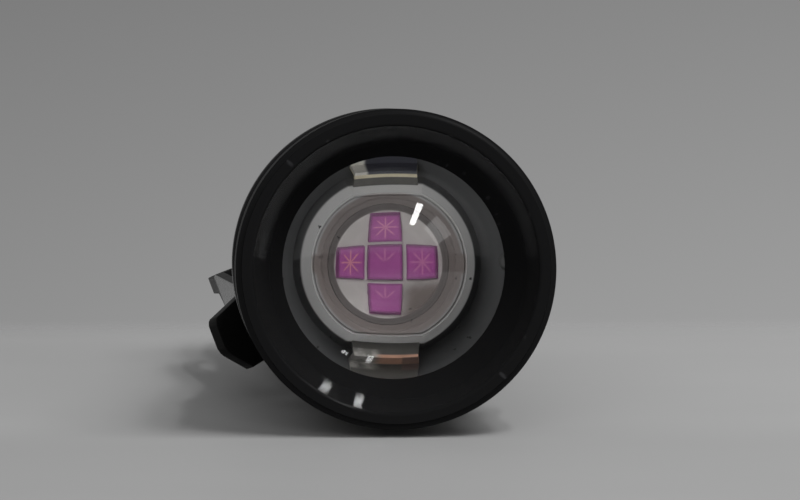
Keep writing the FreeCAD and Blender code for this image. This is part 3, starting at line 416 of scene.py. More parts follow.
LIP = (9.45, 5.245)
LIP_BACK = 5.595
MOUTH = (12.0, 0.35)
MOUTH_EDGE = (12.35, 0.0)
FUNNEL_CURVE = 14.0
RIM_RADIUS = 13.5
BAND_RADIUS = 13.0
FLUTES_FRONT, FLUTES_BACK = 6.501, 16.699
SLEEVE_RADIUS = 12.1
RIB_FLOOR = 11.7
HEAD_BACK = 34.0
HEAD_BORE, BORE_BACK = 10.713, 31.5
BACK_BORE = 9.903
sleeve_ribs = []
for rib in range(3):
    groove = 24.5 + 2 * rib
    sleeve_ribs += [
        (SLEEVE_RADIUS, groove, 0.12),
        (RIB_FLOOR, groove, 0.1),
        (RIB_FLOOR, groove + 1, 0.1),
        (SLEEVE_RADIUS, groove + 1, 0.12),
    ]
head_outline = [
    LIP,
    *arc(LIP, MOUTH, -FUNNEL_CURVE),
    MOUTH,
    *arc(MOUTH, MOUTH_EDGE, 0.35, ARC_STEPS),
    MOUTH_EDGE,
    *rounded(
        [
            (12.6, 0.0),
            (RIM_RADIUS, 0.0, 0.5),
            (RIM_RADIUS, 6.0, 0.18),
            *shoulder(BAND_RADIUS, FLUTES_FRONT),
            (BAND_RADIUS, 11.6),
            *shoulder(BAND_RADIUS, FLUTES_BACK),
            (RIM_RADIUS, 17.2, 0.18),
            (RIM_RADIUS, 19.3, 0.3),
            (BAND_RADIUS, 19.8, 0.3),
            (SLEEVE_RADIUS, 23.0, 0.6),
            *sleeve_ribs,
            (SLEEVE_RADIUS, 33.5, 0.3),
            (11.6, HEAD_BACK, 0.15),
            (BACK_BORE, HEAD_BACK, 0.15),
            (BACK_BORE, BORE_BACK),
            (HEAD_BORE, BORE_BACK),
            (HEAD_BORE, LIP_BACK),
            (LIP[0], LIP_BACK),
        ]
    ),
]
head_shell = turned(
    "bezel_and_head",
    "head",
    head_outline,
    stands_for=("head_shell",),
    segments=576,
    cut=fluted(24, BAND_RADIUS, 0.6, 1.1, FLUTES_FRONT, FLUTES_BACK),
)


def lathe_lines(start, per_metre):
    """Fine rings round the torch's axis, as a lathe tool leaves them."""
    rings = start.node("ShaderNodeCombineXYZ", _0=start.radius() * per_metre, _1=start.along("Y") * per_metre)
    return start.node("ShaderNodeTexNoise", Vector=rings, Scale=1.0, Detail=2.0)


# The anodised skin is hard and glassy, with faint lathe lines and slightly bared edges. The outermost edges are
# duller from handling, and the outside behind the rim has a glossier coat.
black_anodise, anodise_shader, start = finish("black_anodise", IOR=1.11, Coat_IOR=1.5, Coat_Roughness=0.22)
lines = lathe_lines(start, 9000)
cloud = start.noise(1.6 * MM, 4)
bared = start.node("ShaderNodeNewGeometry", output=7).smooth(0.56, 0.66) * cloud.smooth(0.35, 0.6)
outermost = start.radius().smooth(12.9 * MM, 13.3 * MM)
coated = start.along("Y").smooth(6 * MM, 10 * MM) * start.radius().smooth(8 * MM, 9 * MM)
wire_up(
    anodise_shader,
    Base_Color=bared.tint((0.0056, 0.0056, 0.0058), (0.018, 0.018, 0.019)),
    Roughness=0.14 + cloud * 0.04 + lines * 0.05 + outermost * 0.25,
    Coat_Weight=coated * 0.85,
    Normal=start.bump(lines * (0.2 + outermost), 0.006 * MM),
)
dress(head_shell, black_anodise)


# Lens: a plano-convex aspheric lens moulded from clear acrylic, held by its edge. It has a few specks of dust.
LENS_RADIUS = 10.0
LENS_FRONT = 1.5
LENS_BACK = 10.703
LENS_CURVE = 9.87
LENS_FLATTENING = 0.1
LENS_RINGS = 90
EDGE_BREAK = 0.08
DUST_CELL = 3.4 * MM


def lens_station(radius):
    """The front surface, a flattened ellipse."""
    return LENS_FRONT + (LENS_CURVE - math.sqrt(LENS_CURVE**2 - LENS_FLATTENING * radius**2)) / LENS_FLATTENING


front_radii = [(LENS_RADIUS - 0.06) * ring / LENS_RINGS for ring in range(LENS_RINGS + 1)]
lens = turned(
    "aspheric_lens",
    "head",
    [
        *[(r, lens_station(r)) for r in front_radii],
        (LENS_RADIUS, lens_station(LENS_RADIUS) + 0.02),
        (LENS_RADIUS, LENS_BACK - EDGE_BREAK),
        (LENS_RADIUS - EDGE_BREAK, LENS_BACK),
        *[(r, LENS_BACK) for r in (7.0, 4.0, 0.0)],
    ],
    stands_for=("lens",),
    segments=256,
)
lens.visible_shadow = False
acrylic, acrylic_shader, start = finish("clear_acrylic", Roughness=0.0, IOR=1.51)
acrylic_shader.inputs["Transmission Weight"].default_value = 1.0
acrylic_shader.inputs["Base Color"].default_value = (0.97, 0.98, 0.985, 1)
astray = start.noise(0.35 * MM, 3) - 0.5
cells = start.node(
    "ShaderNodeCombineXYZ",
    _0=start.along("X") / DUST_CELL + astray * 0.16 + 7.3,
    _1=start.along("Z") / DUST_CELL - astray * 0.1,
)
speck = start.node("ShaderNodeTexVoronoi", {"voronoi_dimensions": "2D"}, Vector=cells, Scale=1.0, Randomness=1.0)
drawn = Signal(acrylic.node_tree, speck.socket.node.outputs["Color"])
chosen = start.node("ShaderNodeSeparateColor", _0=drawn).smooth(0.66, 0.7)
ragged = start.noise(0.16 * MM, 4)
dust = speck.smooth(0.045, 0.02) * chosen * ragged.smooth(0.4, 0.55)
lint = start.node("ShaderNodeBsdfDiffuse", Color=(*grey(0.03), 1))
show_mix(acrylic, dust, Signal(acrylic.node_tree, acrylic_shader.outputs[0]), lint)
dress(lens, acrylic)


# Lens seal and retaining ring: a rubber O-ring in front of the lens, and a bare turned ring that screws in
# behind it, with two notches for a pin wrench.
def turned_metal(name, colour, gloss=0.3):
    """Bare metal straight from the lathe, with fine circular tool marks."""
    made, shader, start = finish(name, Metallic=1.0)
    lines = lathe_lines(start, 14000)
    haze = start.noise(2 * MM, 3)
    darker = tuple(0.8 * c for c in colour)
    wire_up(
        shader,
        Base_Color=haze.tint(darker, colour),
        Roughness=gloss + lines * 0.15 + haze * 0.06,
        Normal=start.bump(lines, 0.0025 * MM),
    )
    return made


def moulded(name, colour, roughness, grain=0.12 * MM):
    """A moulded plastic or rubber with a fine matt grain and slightly uneven colour."""
    made, shader, start = finish(name)
    cloud = start.noise(1.8 * MM, 3)
    wire_up(
        shader,
        Base_Color=cloud.tint(tuple(0.88 * c for c in colour), tuple(1.12 * c for c in colour)),
        Roughness=roughness + cloud * 0.08 - 0.04,
        Normal=start.bump(start.noise(grain, 2), 0.004 * MM),
    )
    return made


black_rubber = moulded("black_rubber", grey(0.012), 0.6)
bare_aluminium = turned_metal("bare_aluminium", grey(0.62))
dress(nodes["lens_seal"], black_rubber)
dress(nodes["lens_retaining_ring"], bare_aluminium)
dress(nodes["head_glide_o_ring"], black_rubber)


# Pill and star board: the turned heat-sink cup at the front of the barrel, and the round metal-core board on it
# with glossy black solder mask.
dress(nodes["pill"], bare_aluminium)
board_black = moulded("black_solder_mask", (0.085, 0.085, 0.086), 0.42, grain=0.4 * MM)
dress(nodes["star_board"], board_black)


# Emitter package: a pale moulded ring round a silver-plated copper slug, whose shallow cup holds five square
# infrared dies in a cross. Thin electrode rays shine on each die. A clear silicone dome covers them.
def harden(piece):
    """Turn a piece's modifiers into plain mesh."""
    bpy.context.view_layer.update()
    shape = bpy.data.meshes.new_from_object(piece.evaluated_get(bpy.context.evaluated_depsgraph_get()))
    piece.modifiers.clear()
    piece.data = shape


def carve(piece, cutter):
    """Cut a closed mesh out of a piece."""
    tool = bpy.data.objects.new("cutter", cutter)
    bpy.context.scene.collection.objects.link(tool)
    cut = piece.modifiers.new("cut", "BOOLEAN")
    cut.operation = "DIFFERENCE"
    cut.object = tool
    cut.solver = "EXACT"
    harden(piece)
    bpy.data.objects.remove(tool)


def bar(section, front, back):
    """A closed bar along the torch's axis from a section of (x, z) points, to carve with; in millimetres."""
    count = len(section)
    points = [(x * MM, y * MM, z * MM) for y in (front, back) for x, z in section]
    faces = [tuple(range(count)), tuple(range(2 * count - 1, count - 1, -1))]
    faces += [(k, k + count, (k + 1) % count + count, (k + 1) % count) for k in range(count)]
    mesh = bpy.data.meshes.new("cutter")
    mesh.from_pydata(points, [], faces)
    shaped = bmesh.new()
    shaped.from_mesh(mesh)
    bmesh.ops.recalc_face_normals(shaped, faces=shaped.faces)
    shaped.to_mesh(mesh)
    shaped.free()
    return mesh


def drill(x, z, radius, front, back, sides=48):
    """A round bar for a drilled hole."""
    turns = [2 * math.pi * k / sides for k in range(sides)]
    return bar([(x + radius * math.cos(a), z + radius * math.sin(a)) for a in turns], front, back)


HOUSING_RADIUS = 4.0
HOUSING_FLAT = 3.6
HOUSING_FRONT, HOUSING_BACK = 13.97, 16.87
HOUSING_MOUTH, HOUSING_BORE = 3.33, 2.93
HOUSING_LEDGE = 14.32


def flats(angle, radius, station):
    """Two flats on the housing, above and below, whose edge keeps its rounding."""
    limit = (HOUSING_FLAT - (HOUSING_RADIUS - radius)) / np.maximum(np.abs(np.sin(angle)), 1e-6)
    return np.where(radius > 3.5, np.minimum(radius, limit), radius)


housing = turned(
    "emitter_housing_ring",
    "barrel",
    rounded(
        [
            (HOUSING_MOUTH, HOUSING_FRONT, 0.08),
            (HOUSING_RADIUS, HOUSING_FRONT, 0.14),
            (HOUSING_RADIUS, HOUSING_BACK),
            (HOUSING_BORE, HOUSING_BACK),
            (HOUSING_BORE, HOUSING_LEDGE),
            (HOUSING_MOUTH, HOUSING_LEDGE),
        ]
    ),
    stands_for=("emitter_housing",),
    segments=360,
    cut=flats,
)
for side in (1, -1):
    carve(housing, drill(3.3 * side, 0, 0.45, 13.5, 14.2))

# The ring is darker and browner near the dies and round its ears. Its face and glow have painted light, lighter
# towards the top. Its side wall is painted pale as painted light, with painted shade at its foot by the board, and a
# painted glow on the side wall stands in for light that spreads inside the ring.
pale_plastic, plastic_shader, start = finish("pale_plastic", Roughness=0.5)
cloud = start.noise(0.9 * MM, 4)
# Painted light: lighter towards the top, darker towards the bottom.
painted_top_light = start.along("Z") * 120 + 0.5
pale = painted_top_light.tint((0.24, 0.23, 0.225), (0.40, 0.395, 0.39))
inner_band = start.radius().smooth(3.8 * MM, 3.65 * MM)
from_ear = start.maths("SQRT", (abs(start.along("X")) - 3.5 * MM) ** 2 + start.along("Z") ** 2)
brown_darkening = start.maths("MAXIMUM", inner_band, from_ear.smooth(0.72 * MM, 0.45 * MM)) * 0.8 + cloud * 0.2
front_face = brown_darkening.tint(pale, (0.20, 0.165, 0.155))
depth = start.along("Y")
round_wall = start.radius().smooth(3.84 * MM, 3.92 * MM)
flat_wall = abs(start.along("Z")).smooth(3.5 * MM, 3.56 * MM)
side_wall = depth.smooth(14.05 * MM, 14.2 * MM) * start.maths("MAXIMUM", round_wall, flat_wall)
# The side wall's pale colour is painted light; its dark foot by the board is painted shade.
painted_foot_shade = depth.smooth(15.55 * MM, 15.95 * MM)
# A painted glow for the side wall, lighter towards the top.
painted_side_glow = painted_top_light.tint((0.075, 0.073, 0.071), (0.135, 0.132, 0.13))
wire_up(
    plastic_shader,
    Base_Color=side_wall.tint(front_face, painted_foot_shade.tint((0.80, 0.79, 0.78), grey(0.10))),
    Emission_Color=(side_wall * (1 - painted_foot_shade)).tint(grey(0), painted_side_glow),
    Roughness=0.45 + cloud * 0.1,
    Normal=start.bump(cloud, 0.01 * MM),
)
plastic_shader.inputs["Emission Strength"].default_value = 1.0
dress(housing, pale_plastic)

# The cup is clean and pale, but darker and brownish at its lower right, and the slug's rim round it is darker.
plated, plated_shader, start = finish("plated_copper", Metallic=0.2)
haze = start.noise(0.5 * MM, 3)
cup = start.radius().smooth(2.2 * MM, 2.0 * MM)
ring_colour = haze.tint((0.19, 0.165, 0.16), (0.25, 0.225, 0.22))
clean_cup = haze.tint((0.60, 0.565, 0.55), (0.77, 0.73, 0.71))
corner = start.along("X").smooth(0.1 * MM, 0.9 * MM) * start.along("Z").smooth(-0.3 * MM, -0.9 * MM)
cup_colour = (corner * 0.85).tint(clean_cup, (0.175, 0.13, 0.115))
wire_up(plated_shader, Base_Color=cup.tint(ring_colour, cup_colour), Roughness=0.38 + haze * 0.12)
dress(nodes["emitter_slug"], plated)

# The dies are magenta, darker at their borders, and the rays of the electrodes cross on each of them. The same
# colours glow faintly, as painted light.
DIE_PITCH = 1.12 * MM
DIE_WIDTH = 1.0 * MM
dies, die_shader, start = finish("infrared_dies", Roughness=0.3)


def within_die(axis):
    """A die's own coordinate along one axis, from -0.5 to 0.5 over its width."""
    place = start.along(axis) / DIE_PITCH
    return (place - start.maths("ROUND", place)) * (DIE_PITCH / DIE_WIDTH)


across, up = within_die("X"), within_die("Z")
rays = 0
for angle in (0, 45, 90, 135):
    lean = math.radians(angle)
    off = abs(across * math.sin(lean) - up * math.cos(lean))
    rays = start.maths("MAXIMUM", rays, off.smooth(0.045, 0.008))
reach = start.maths("SQRT", across**2 + up**2)
rays = rays * reach.smooth(0.46, 0.3)
column, row = start.along("X") / DIE_PITCH, start.along("Z") / DIE_PITCH
half_rays = row.smooth(0.45, 0.4) * abs(column).smooth(0.55, 0.45)
rays = rays * (1 - half_rays * up.smooth(0.1, 0.0)) * (1 - column.smooth(0.4, 0.5) * 0.35) * (1 - half_rays * 0.4)
border = start.maths("MAXIMUM", abs(across), abs(up)).smooth(0.40, 0.49)
glow = start.noise(0.35 * MM, 3)
field = glow.tint((0.30, 0.065, 0.25), (0.46, 0.11, 0.37))
field = (border * 0.6).tint(field, (0.13, 0.035, 0.115))
ray_colour = column.smooth(-0.5, -0.6).tint((0.66, 0.27, 0.42), (0.72, 0.30, 0.33))
field = (rays * 0.75).tint(field, ray_colour)
# The emission is a painted glow in the dies' own colours.
wire_up(die_shader, Base_Color=field, Emission_Color=field)
die_shader.inputs["Emission Strength"].default_value = 0.12
dress(nodes["emitter_dies"], dies)

# The dome casts no shadow, as the lens, so that the lamps' light reaches the dies.
nodes["emitter_dome"].visible_shadow = False
silicone, silicone_shader, start = finish("clear_silicone", Roughness=0.02, IOR=1.41)
silicone_shader.inputs["Transmission Weight"].default_value = 1.0
silicone_shader.inputs["Base Color"].default_value = (0.98, 0.97, 0.96, 1)
dress(nodes["emitter_dome"], silicone)

# The leads are thin plated strips with a faint painted glow. Near the housing both are painted in shade. The upper one
# has a golden painted highlight along its bend, solder on its left and a painted shadow over its right side, and the
# lower one has solder on its left, a copper edge and a darker step.
lead, lead_shader, start = finish("gold_lead", Metallic=0.2)
tarnish = start.noise(0.5 * MM, 4)
across, height = start.along("X"), start.along("Z")
outwards = abs(height)
upper = height.smooth(-0.1 * MM, 0.1 * MM)
# Painted shade on both strips near the housing.
shaded = tarnish.tint((0.075, 0.07, 0.065), (0.115, 0.11, 0.10))
painted_gold_highlight = tarnish.tint((0.55, 0.48, 0.33), (0.82, 0.74, 0.54))
copper = tarnish.tint((0.40, 0.22, 0.15), (0.62, 0.35, 0.25))
solder = tarnish.smooth(0.3, 0.7).tint((0.15, 0.145, 0.135), (0.42, 0.40, 0.37))
bright = tarnish.tint((0.50, 0.48, 0.44), (0.90, 0.87, 0.80))
# Solder on the left, and a painted shadow over the right side.
solder_and_shadow = across.smooth(-1.0 * MM, -0.8 * MM).tint(bright, (0.07, 0.07, 0.085))
# A painted highlight along the upper lead's bend.
line = outwards.smooth(4.12 * MM, 4.18 * MM) * outwards.smooth(4.40 * MM, 4.34 * MM)
top_face = outwards.smooth(4.25 * MM, 4.35 * MM).tint(shaded, solder_and_shadow)
top_face = (line * 0.9).tint(top_face, painted_gold_highlight)
edge_bar = outwards.smooth(4.32 * MM, 4.40 * MM) * start.along("Y").smooth(16.6 * MM, 16.4 * MM)
step_mark = outwards.smooth(4.5 * MM, 4.56 * MM) * outwards.smooth(4.95 * MM, 4.85 * MM)
step_mark = across.smooth(0.75 * MM, 0.85 * MM) * step_mark
bottom_face = edge_bar.tint(shaded, copper)
bottom_face = (step_mark * 0.8).tint(bottom_face, (0.15, 0.10, 0.09))
on_left = outwards.smooth(4.0 * MM, 4.1 * MM) * outwards.smooth(5.0 * MM, 4.8 * MM)
on_left = across.smooth(-0.1 * MM, -0.6 * MM) * on_left
bottom_face = on_left.tint(bottom_face, solder)
strip_colour = upper.tint(bottom_face, top_face)
# The leads' colours also glow faintly, as painted light.
wire_up(lead_shader, Base_Color=strip_colour, Emission_Color=strip_colour, Roughness=0.36 + tarnish * 0.2)
lead_shader.inputs["Emission Strength"].default_value = 0.10
dress(nodes["emitter_lead_positive"], lead)
dress(nodes["emitter_lead_negative"], lead)


# Driver: a small round board pressed into the back of the pill, with a drum-core inductor, three chips and a
# contact spring for the cell. Two insulated leads run from it through the pill's shelf to the star board.
def coil_spring(name, body, node, first_radius, last_radius, wire, front, back, turns):
    """A round-wire compression spring with closed end turns; sizes in millimetres."""
    steps_per_turn, sides, closed, window = 40, 12, 0.7, 9
    steps = int(turns * steps_per_turn)
    turned_so_far = np.arange(steps + 1) / steps_per_turn
    lift = 2 * wire * closed
    travel = back - front - 2 * wire
    height = np.interp(turned_so_far, [0, closed, turns - closed, turns], [0, lift, travel - lift, travel])
    height = np.convolve(np.pad(height, window // 2, mode="edge"), np.ones(window) / window, mode="valid")
    radius = first_radius + (last_radius - first_radius) * turned_so_far / turns
    angle = turned_so_far * 2 * np.pi
    middle = np.stack([radius * np.cos(angle), front + wire + height, radius * np.sin(angle)], -1)
    outward = np.stack([np.cos(angle), 0 * angle, np.sin(angle)], -1)
    round_angle = np.arange(sides) * 2 * np.pi / sides
    points = (
        middle[:, None]
        + wire * np.cos(round_angle)[None, :, None] * outward[:, None]
        + wire * np.sin(round_angle)[None, :, None] * np.array([0, 1, 0])
    ).reshape(-1, 3) * MM
    faces = []
    for step in range(steps):
        here, there = step * sides, (step + 1) * sides
        faces += [(here + k, here + (k + 1) % sides, there + (k + 1) % sides, there + k) for k in range(sides)]
    faces += [tuple(range(sides)), tuple(range(steps * sides, (steps + 1) * sides))]
    return new_piece(name, body, points, faces, (node,), 50)


green_mask = moulded("green_solder_mask", (0.010, 0.065, 0.028), 0.3, grain=0.4 * MM)
dress(nodes["driver_board"], green_mask)
dark_parts = moulded("dark_parts", (0.018, 0.018, 0.02), 0.45)
dress(nodes["driver_inductor"], dark_parts)
dress(nodes["driver_chips"], dark_parts)
for name, colour in (("red", (0.20, 0.012, 0.01)), ("black", (0.014, 0.014, 0.014))):
    insulation, insulation_shader, start = finish(name + "_insulation", Roughness=0.42)
    tinned = abs(start.along("X")).smooth(6.5 * MM, 6.4 * MM) * start.along("Y").smooth(17.0 * MM, 16.9 * MM)
    wire_up(insulation_shader, Base_Color=tinned.tint(colour, (0.10, 0.10, 0.098)))
    dress(nodes["lead_wire_" + name], insulation)
spring_steel = turned_metal("spring_steel", (0.60, 0.59, 0.56), 0.28)
dress(coil_spring("driver_contact_spring", "barrel", "driver_spring", 2.2, 2.2, 0.3, 28.47, 31.07, 2.5), spring_steel)


# Battery cell: a sealed steel can in plain dark shrink wrap, with its raised button in front.
wrap, wrap_shader, start = finish("cell_wrap", IOR=1.5)
can_end = start.radius().smooth(6.1 * MM, 6.0 * MM)
crinkle = start.noise(1.5 * MM, 3, stretch=(1, 0.2, 1))
wire_up(
    wrap_shader,
    Base_Color=can_end.tint((0.022, 0.030, 0.045), (0.55, 0.54, 0.52)),
    Metallic=can_end,
    Roughness=0.28 + crinkle * 0.14,
    Normal=start.bump(crinkle, 0.02 * MM),
)
dress(nodes["battery_cell"], wrap)


# Barrel: one turned and anodised aluminium tube. From the front it has the neck that the head slides on, three
# cooling fins, the squared grip, the groove that the clip snaps into, and the tail thread.
BARREL_FRONT, BARREL_BACK = 22.93, 81.57
NECK_RADIUS, NECK_END = 9.823, 34.2
PILL_BORE, PILL_BACK, CELL_BORE = 8.603, 28.53, 7.35
FIN_RADIUS, FIN_FLOOR, FIN_SLOT = 11.2, 9.8, 1.1
GRIP_RADIUS, GRIP_FLOOR, GRIP_GROOVES = 10.2, 9.8, 6
GRIP_FRONT, GRIP_BACK = 45.4, 65.87
GRIP_FLUTES = (46.199, 65.069)
CLIP_GROOVE, CLIP_GROOVE_BACK = 9.4, 73.87
COLLAR_BACK = 74.87
THREAD_RADIUS, THREAD_ROOT, THREAD_PITCH = 8.95, 8.6, 1.0
SEAL_FLOOR, SEAL_FRONT, SEAL_BACK = 8.2, 75.27, 76.37
barrel_outline = [
    (PILL_BORE, BARREL_FRONT, 0.1),
    (NECK_RADIUS, BARREL_FRONT, 0.3),
    (NECK_RADIUS, NECK_END),
    (FIN_RADIUS, NECK_END, 0.3),
]
for fin in range(3):
    slot_front = 35.8 + 2.7 * fin
    barrel_outline += [
        (FIN_RADIUS, slot_front, 0.18),
        (FIN_FLOOR, slot_front, 0.3),
        (FIN_FLOOR, slot_front + FIN_SLOT, 0.3),
        (FIN_RADIUS, slot_front + FIN_SLOT, 0.18),
    ]
barrel_outline += [(FIN_RADIUS, 43.9, 0.3), (GRIP_RADIUS, GRIP_FRONT, 0.4), *shoulder(GRIP_RADIUS, GRIP_FLUTES[0])]
for groove in range(GRIP_GROOVES):
    middle = GRIP_FRONT + (GRIP_BACK - GRIP_FRONT) / (GRIP_GROOVES + 1) * (groove + 1)
    barrel_outline += [
        (GRIP_RADIUS, middle - 0.4, 0.06),
        (GRIP_FLOOR, middle, 0.08),
        (GRIP_RADIUS, middle + 0.4, 0.06),
    ]
barrel_outline += [
    *shoulder(GRIP_RADIUS, GRIP_FLUTES[1]),
    (GRIP_RADIUS, GRIP_BACK, 0.15),
    (CLIP_GROOVE, GRIP_BACK, 0.12),
    (CLIP_GROOVE, CLIP_GROOVE_BACK, 0.12),
    (GRIP_RADIUS, CLIP_GROOVE_BACK, 0.15),
    (GRIP_RADIUS, COLLAR_BACK, 0.15),
    (THREAD_RADIUS, COLLAR_BACK, 0.1),
    (THREAD_RADIUS, SEAL_FRONT, 0.08),
    (SEAL_FLOOR, SEAL_FRONT, 0.08),
    (SEAL_FLOOR, SEAL_BACK, 0.08),
    (THREAD_RADIUS, SEAL_BACK, 0.08),
]
for turn in range(5):
    crest = 76.6 + THREAD_PITCH * turn
    barrel_outline += [
        (THREAD_RADIUS, crest),
        (THREAD_ROOT, crest + 0.35),
        (THREAD_ROOT, crest + 0.5),
        (THREAD_RADIUS, crest + 0.85),
    ]
barrel_outline += [
    (THREAD_RADIUS, BARREL_BACK, 0.12),
    (CELL_BORE, BARREL_BACK, 0.12),
    (CELL_BORE, PILL_BACK),
    (PILL_BORE, PILL_BACK),
]
barrel_tube = turned(
    "barrel_tube",
    "barrel",
    rounded(barrel_outline),
    stands_for=("barrel",),
    segments=480,
    cut=fluted(24, GRIP_RADIUS, 0.4, 0.7, *GRIP_FLUTES, soft=0.05),
)
dress(barrel_tube, black_anodise)


# Pocket clip: one strip of black-finished spring steel. A split ring snaps into the barrel's groove, and a narrow
# neck bends outwards and back into the flat arm, whose pointed tip stands off the head.
def between(start, end, stations):
    """Points of a straight line at the given stations, in the clip's side view."""
    return [(start[0] + (end[0] - start[0]) * (y - start[1]) / (end[1] - start[1]), y) for y in stations]


def part_way(station, far, near):
    """How far a station is on its way from far (0) to near (1)."""
    return min(max((far - station) / (far - near), 0), 1)


def eased(share):
    """A share from 0 to 1 that starts and ends gently."""
    return share * share * (3 - 2 * share)


CLIP_THICKNESS = 0.8
RING_MIDDLE = 9.88
RING_FRONT, RING_BACK = 66.03, 71.83
RING_HALF_TURN = math.radians(145)
BEND = 2.3
BEND_ROWS = 14
HEEL = (11.9, 40.2)
TIP = (16.1, 30.4)
NECK_BACK, NECK_FRONT, TAPER_BACK, FLARE_BACK = 66.83, 62.83, 38.6, 34.6
ARM_HALF_WIDTH = 3.2
ARM_LEAN = 2.25
NECK = (-2.6, -1.0)
CLIP_TURN = math.radians(159.3)
bend_turns = np.pi * np.arange(1, BEND_ROWS + 1) / BEND_ROWS
side_path = [(RING_MIDDLE, RING_BACK)]
side_path += [(RING_MIDDLE + BEND - BEND * math.cos(a), RING_BACK + BEND * math.sin(a)) for a in bend_turns]
arm_back = side_path[-1]
heel_in, heel_out = between(arm_back, HEEL, [41.4])[0], between(HEEL, TIP, [39.2])[0]
neck_steps = np.linspace(NECK_BACK, NECK_FRONT, 9)
tip_steps = [39.2, 38, 36.5, 35.4, FLARE_BACK, 33.5, 32.5, 31.6, 31.1, 30.75, 30.5, 30.4]
side_path += between(arm_back, HEEL, [70.5, 69, *neck_steps, 61, 58, 55, 52, 49, 46, 43, 41.4])
side_path += arc(heel_in, heel_out, -3.6, 8) + between(HEEL, TIP, tip_steps)
columns = np.linspace(0, 1, 15)
low_edge, high_edge, leaving = [], [], []
for index, (x, y) in enumerate(side_path):
    in_bend = index <= BEND_ROWS
    widening = 0 if in_bend else 1 - eased(part_way(y, NECK_FRONT, NECK_BACK))
    flare = 0 if in_bend else part_way(y, FLARE_BACK, TIP[1])
    taper = 0 if in_bend else part_way(y, TAPER_BACK, TIP[1])
    lean = 0 if in_bend else ARM_LEAN * part_way(y, NECK_BACK, TIP[1])
    rounding = 0.5 * max(0, 1 - (y - TIP[1]) / 0.6) ** 2
    low_side = 0.6 * taper + rounding - ARM_HALF_WIDTH
    high_side = ARM_HALF_WIDTH - 2.5 * flare - 0.25 * taper - rounding
    low_edge.append(NECK[0] + (low_side - NECK[0]) * widening + lean)
    high_edge.append(NECK[1] + (high_side - NECK[1]) * widening + lean)
    leaving.append(1 - eased(min(index / BEND_ROWS, 1)))
neck_across = low_edge[0] + (high_edge[0] - low_edge[0]) * columns
neck_angles = np.arcsin(neck_across / RING_MIDDLE)
around = np.linspace(-RING_HALF_TURN, RING_HALF_TURN, 147)
around = around[(around < neck_angles[0] - 0.01) | (around > neck_angles[-1] + 0.01)]
around = np.sort(np.concatenate([around, neck_angles]))
clip_points, clip_faces = [], []
for y in (RING_FRONT, RING_FRONT + 0.4, RING_BACK - 0.4, RING_BACK):
    clip_points += [(RING_MIDDLE * math.cos(a), y, RING_MIDDLE * math.sin(a)) for a in around]
for row in range(3):
    here, there = row * len(around), (row + 1) * len(around)
    clip_faces += [(here + k, here + k + 1, there + k + 1, there + k) for k in range(len(around) - 1)]
first_arm_point = len(clip_points)
for index, (x, y) in enumerate(side_path):
    for column, z in zip(columns, neck_across):
        dip = (RING_MIDDLE * math.cos(math.asin(z / RING_MIDDLE)) - RING_MIDDLE) * leaving[index]
        across = low_edge[index] + (high_edge[index] - low_edge[index]) * column
        clip_points.append((x + dip, y, across))
for row in range(len(side_path) - 1):
    here = first_arm_point + row * len(columns)
    there = here + len(columns)
    clip_faces += [(here + k, here + k + 1, there + k + 1, there + k) for k in range(len(columns) - 1)]
turn = Matrix.Rotation(CLIP_TURN, 3, "Y")
clip = new_piece(
    "spring_clip", "clip", [turn @ Vector(p) * MM for p in clip_points], clip_faces, ("pocket_clip",)
)
thicken = clip.modifiers.new("thicken", "SOLIDIFY")
thicken.thickness = CLIP_THICKNESS * MM
thicken.offset = 0
thicken.use_even_offset = True
soften = clip.modifiers.new("soften", "BEVEL")
soften.width = 0.14 * MM
soften.segments = 3
soften.limit_method = "ANGLE"
soften.angle_limit = math.radians(50)
harden(clip)
clip_steel, clip_shader, start = finish("clip_steel", IOR=1.2, Coat_IOR=1.5, Coat_Roughness=0.18)
haze = start.noise(1.2 * MM, 4)
rubbed = start.node("ShaderNodeNewGeometry", output=7).smooth(0.53, 0.6) * haze.smooth(0.4, 0.6)
normal = start.node("ShaderNodeTexCoord", output=1)
outwards = tuple(turn @ Vector((1, 0, 0)))
facing_out = start.node("ShaderNodeVectorMath", {"operation": "DOT_PRODUCT"}, 1, _0=normal, _1=outwards)
station = start.along("Y")
on_arm = station.smooth(44 * MM, 48 * MM) * station.smooth(66 * MM, 64 * MM)
wire_up(
    clip_shader,
    Base_Color=rubbed.tint(grey(0.007), (0.035, 0.034, 0.033)),
    Coat_Weight=0.7 * facing_out.smooth(0.6, 0.8) * on_arm,
    Roughness=0.36 + haze * 0.14,
    Normal=start.bump(start.noise(0.08 * MM, 2), 0.0015 * MM),
)
dress(clip, clip_steel)


# Tail cap: turned and anodised like the head. It screws over the barrel's thread against an O-ring and has six
# broad scallops for the fingers. A notch in its band and a hole in its end flange take a wrist cord.
CAP_FRONT, CAP_BACK, CAP_WALL = 74.97, 92.92, 91.32
CAP_LAND, CAP_BAND = 10.9, 11.3
BAND_FRONT, BAND_BACK = 76.57, 90.12
SCALLOP_DEPTH, SCALLOP_CUTTER, SCALLOP_ROUNDING, RUN_OUT = 1.1, 5.0, 0.1, 1.2
BUTTON_BORE, SWITCH_BORE, RING_BORE = 5.3, 7.88, 8.38
THREAD_BORE, SEAL_BORE = 9.05, 9.25


def scallops(angle, radius, station):
    """Six scallops that run out softly at both ends of the band, the first one lowest."""
    off = (angle + np.pi / 2 + np.pi / 6) % (np.pi / 3) - np.pi / 6
    reach = np.minimum(station - BAND_FRONT, BAND_BACK - station).clip(0, RUN_OUT) / RUN_OUT
    depth = SCALLOP_DEPTH * np.sqrt(1 - (1 - reach) ** 2)
    scalloped = milled(radius, off, CAP_BAND - depth + SCALLOP_CUTTER, SCALLOP_CUTTER, SCALLOP_ROUNDING)
    on_band = (station > BAND_FRONT) & (station < BAND_BACK) & (radius > 9.6)
    return np.where(on_band, scalloped, radius)


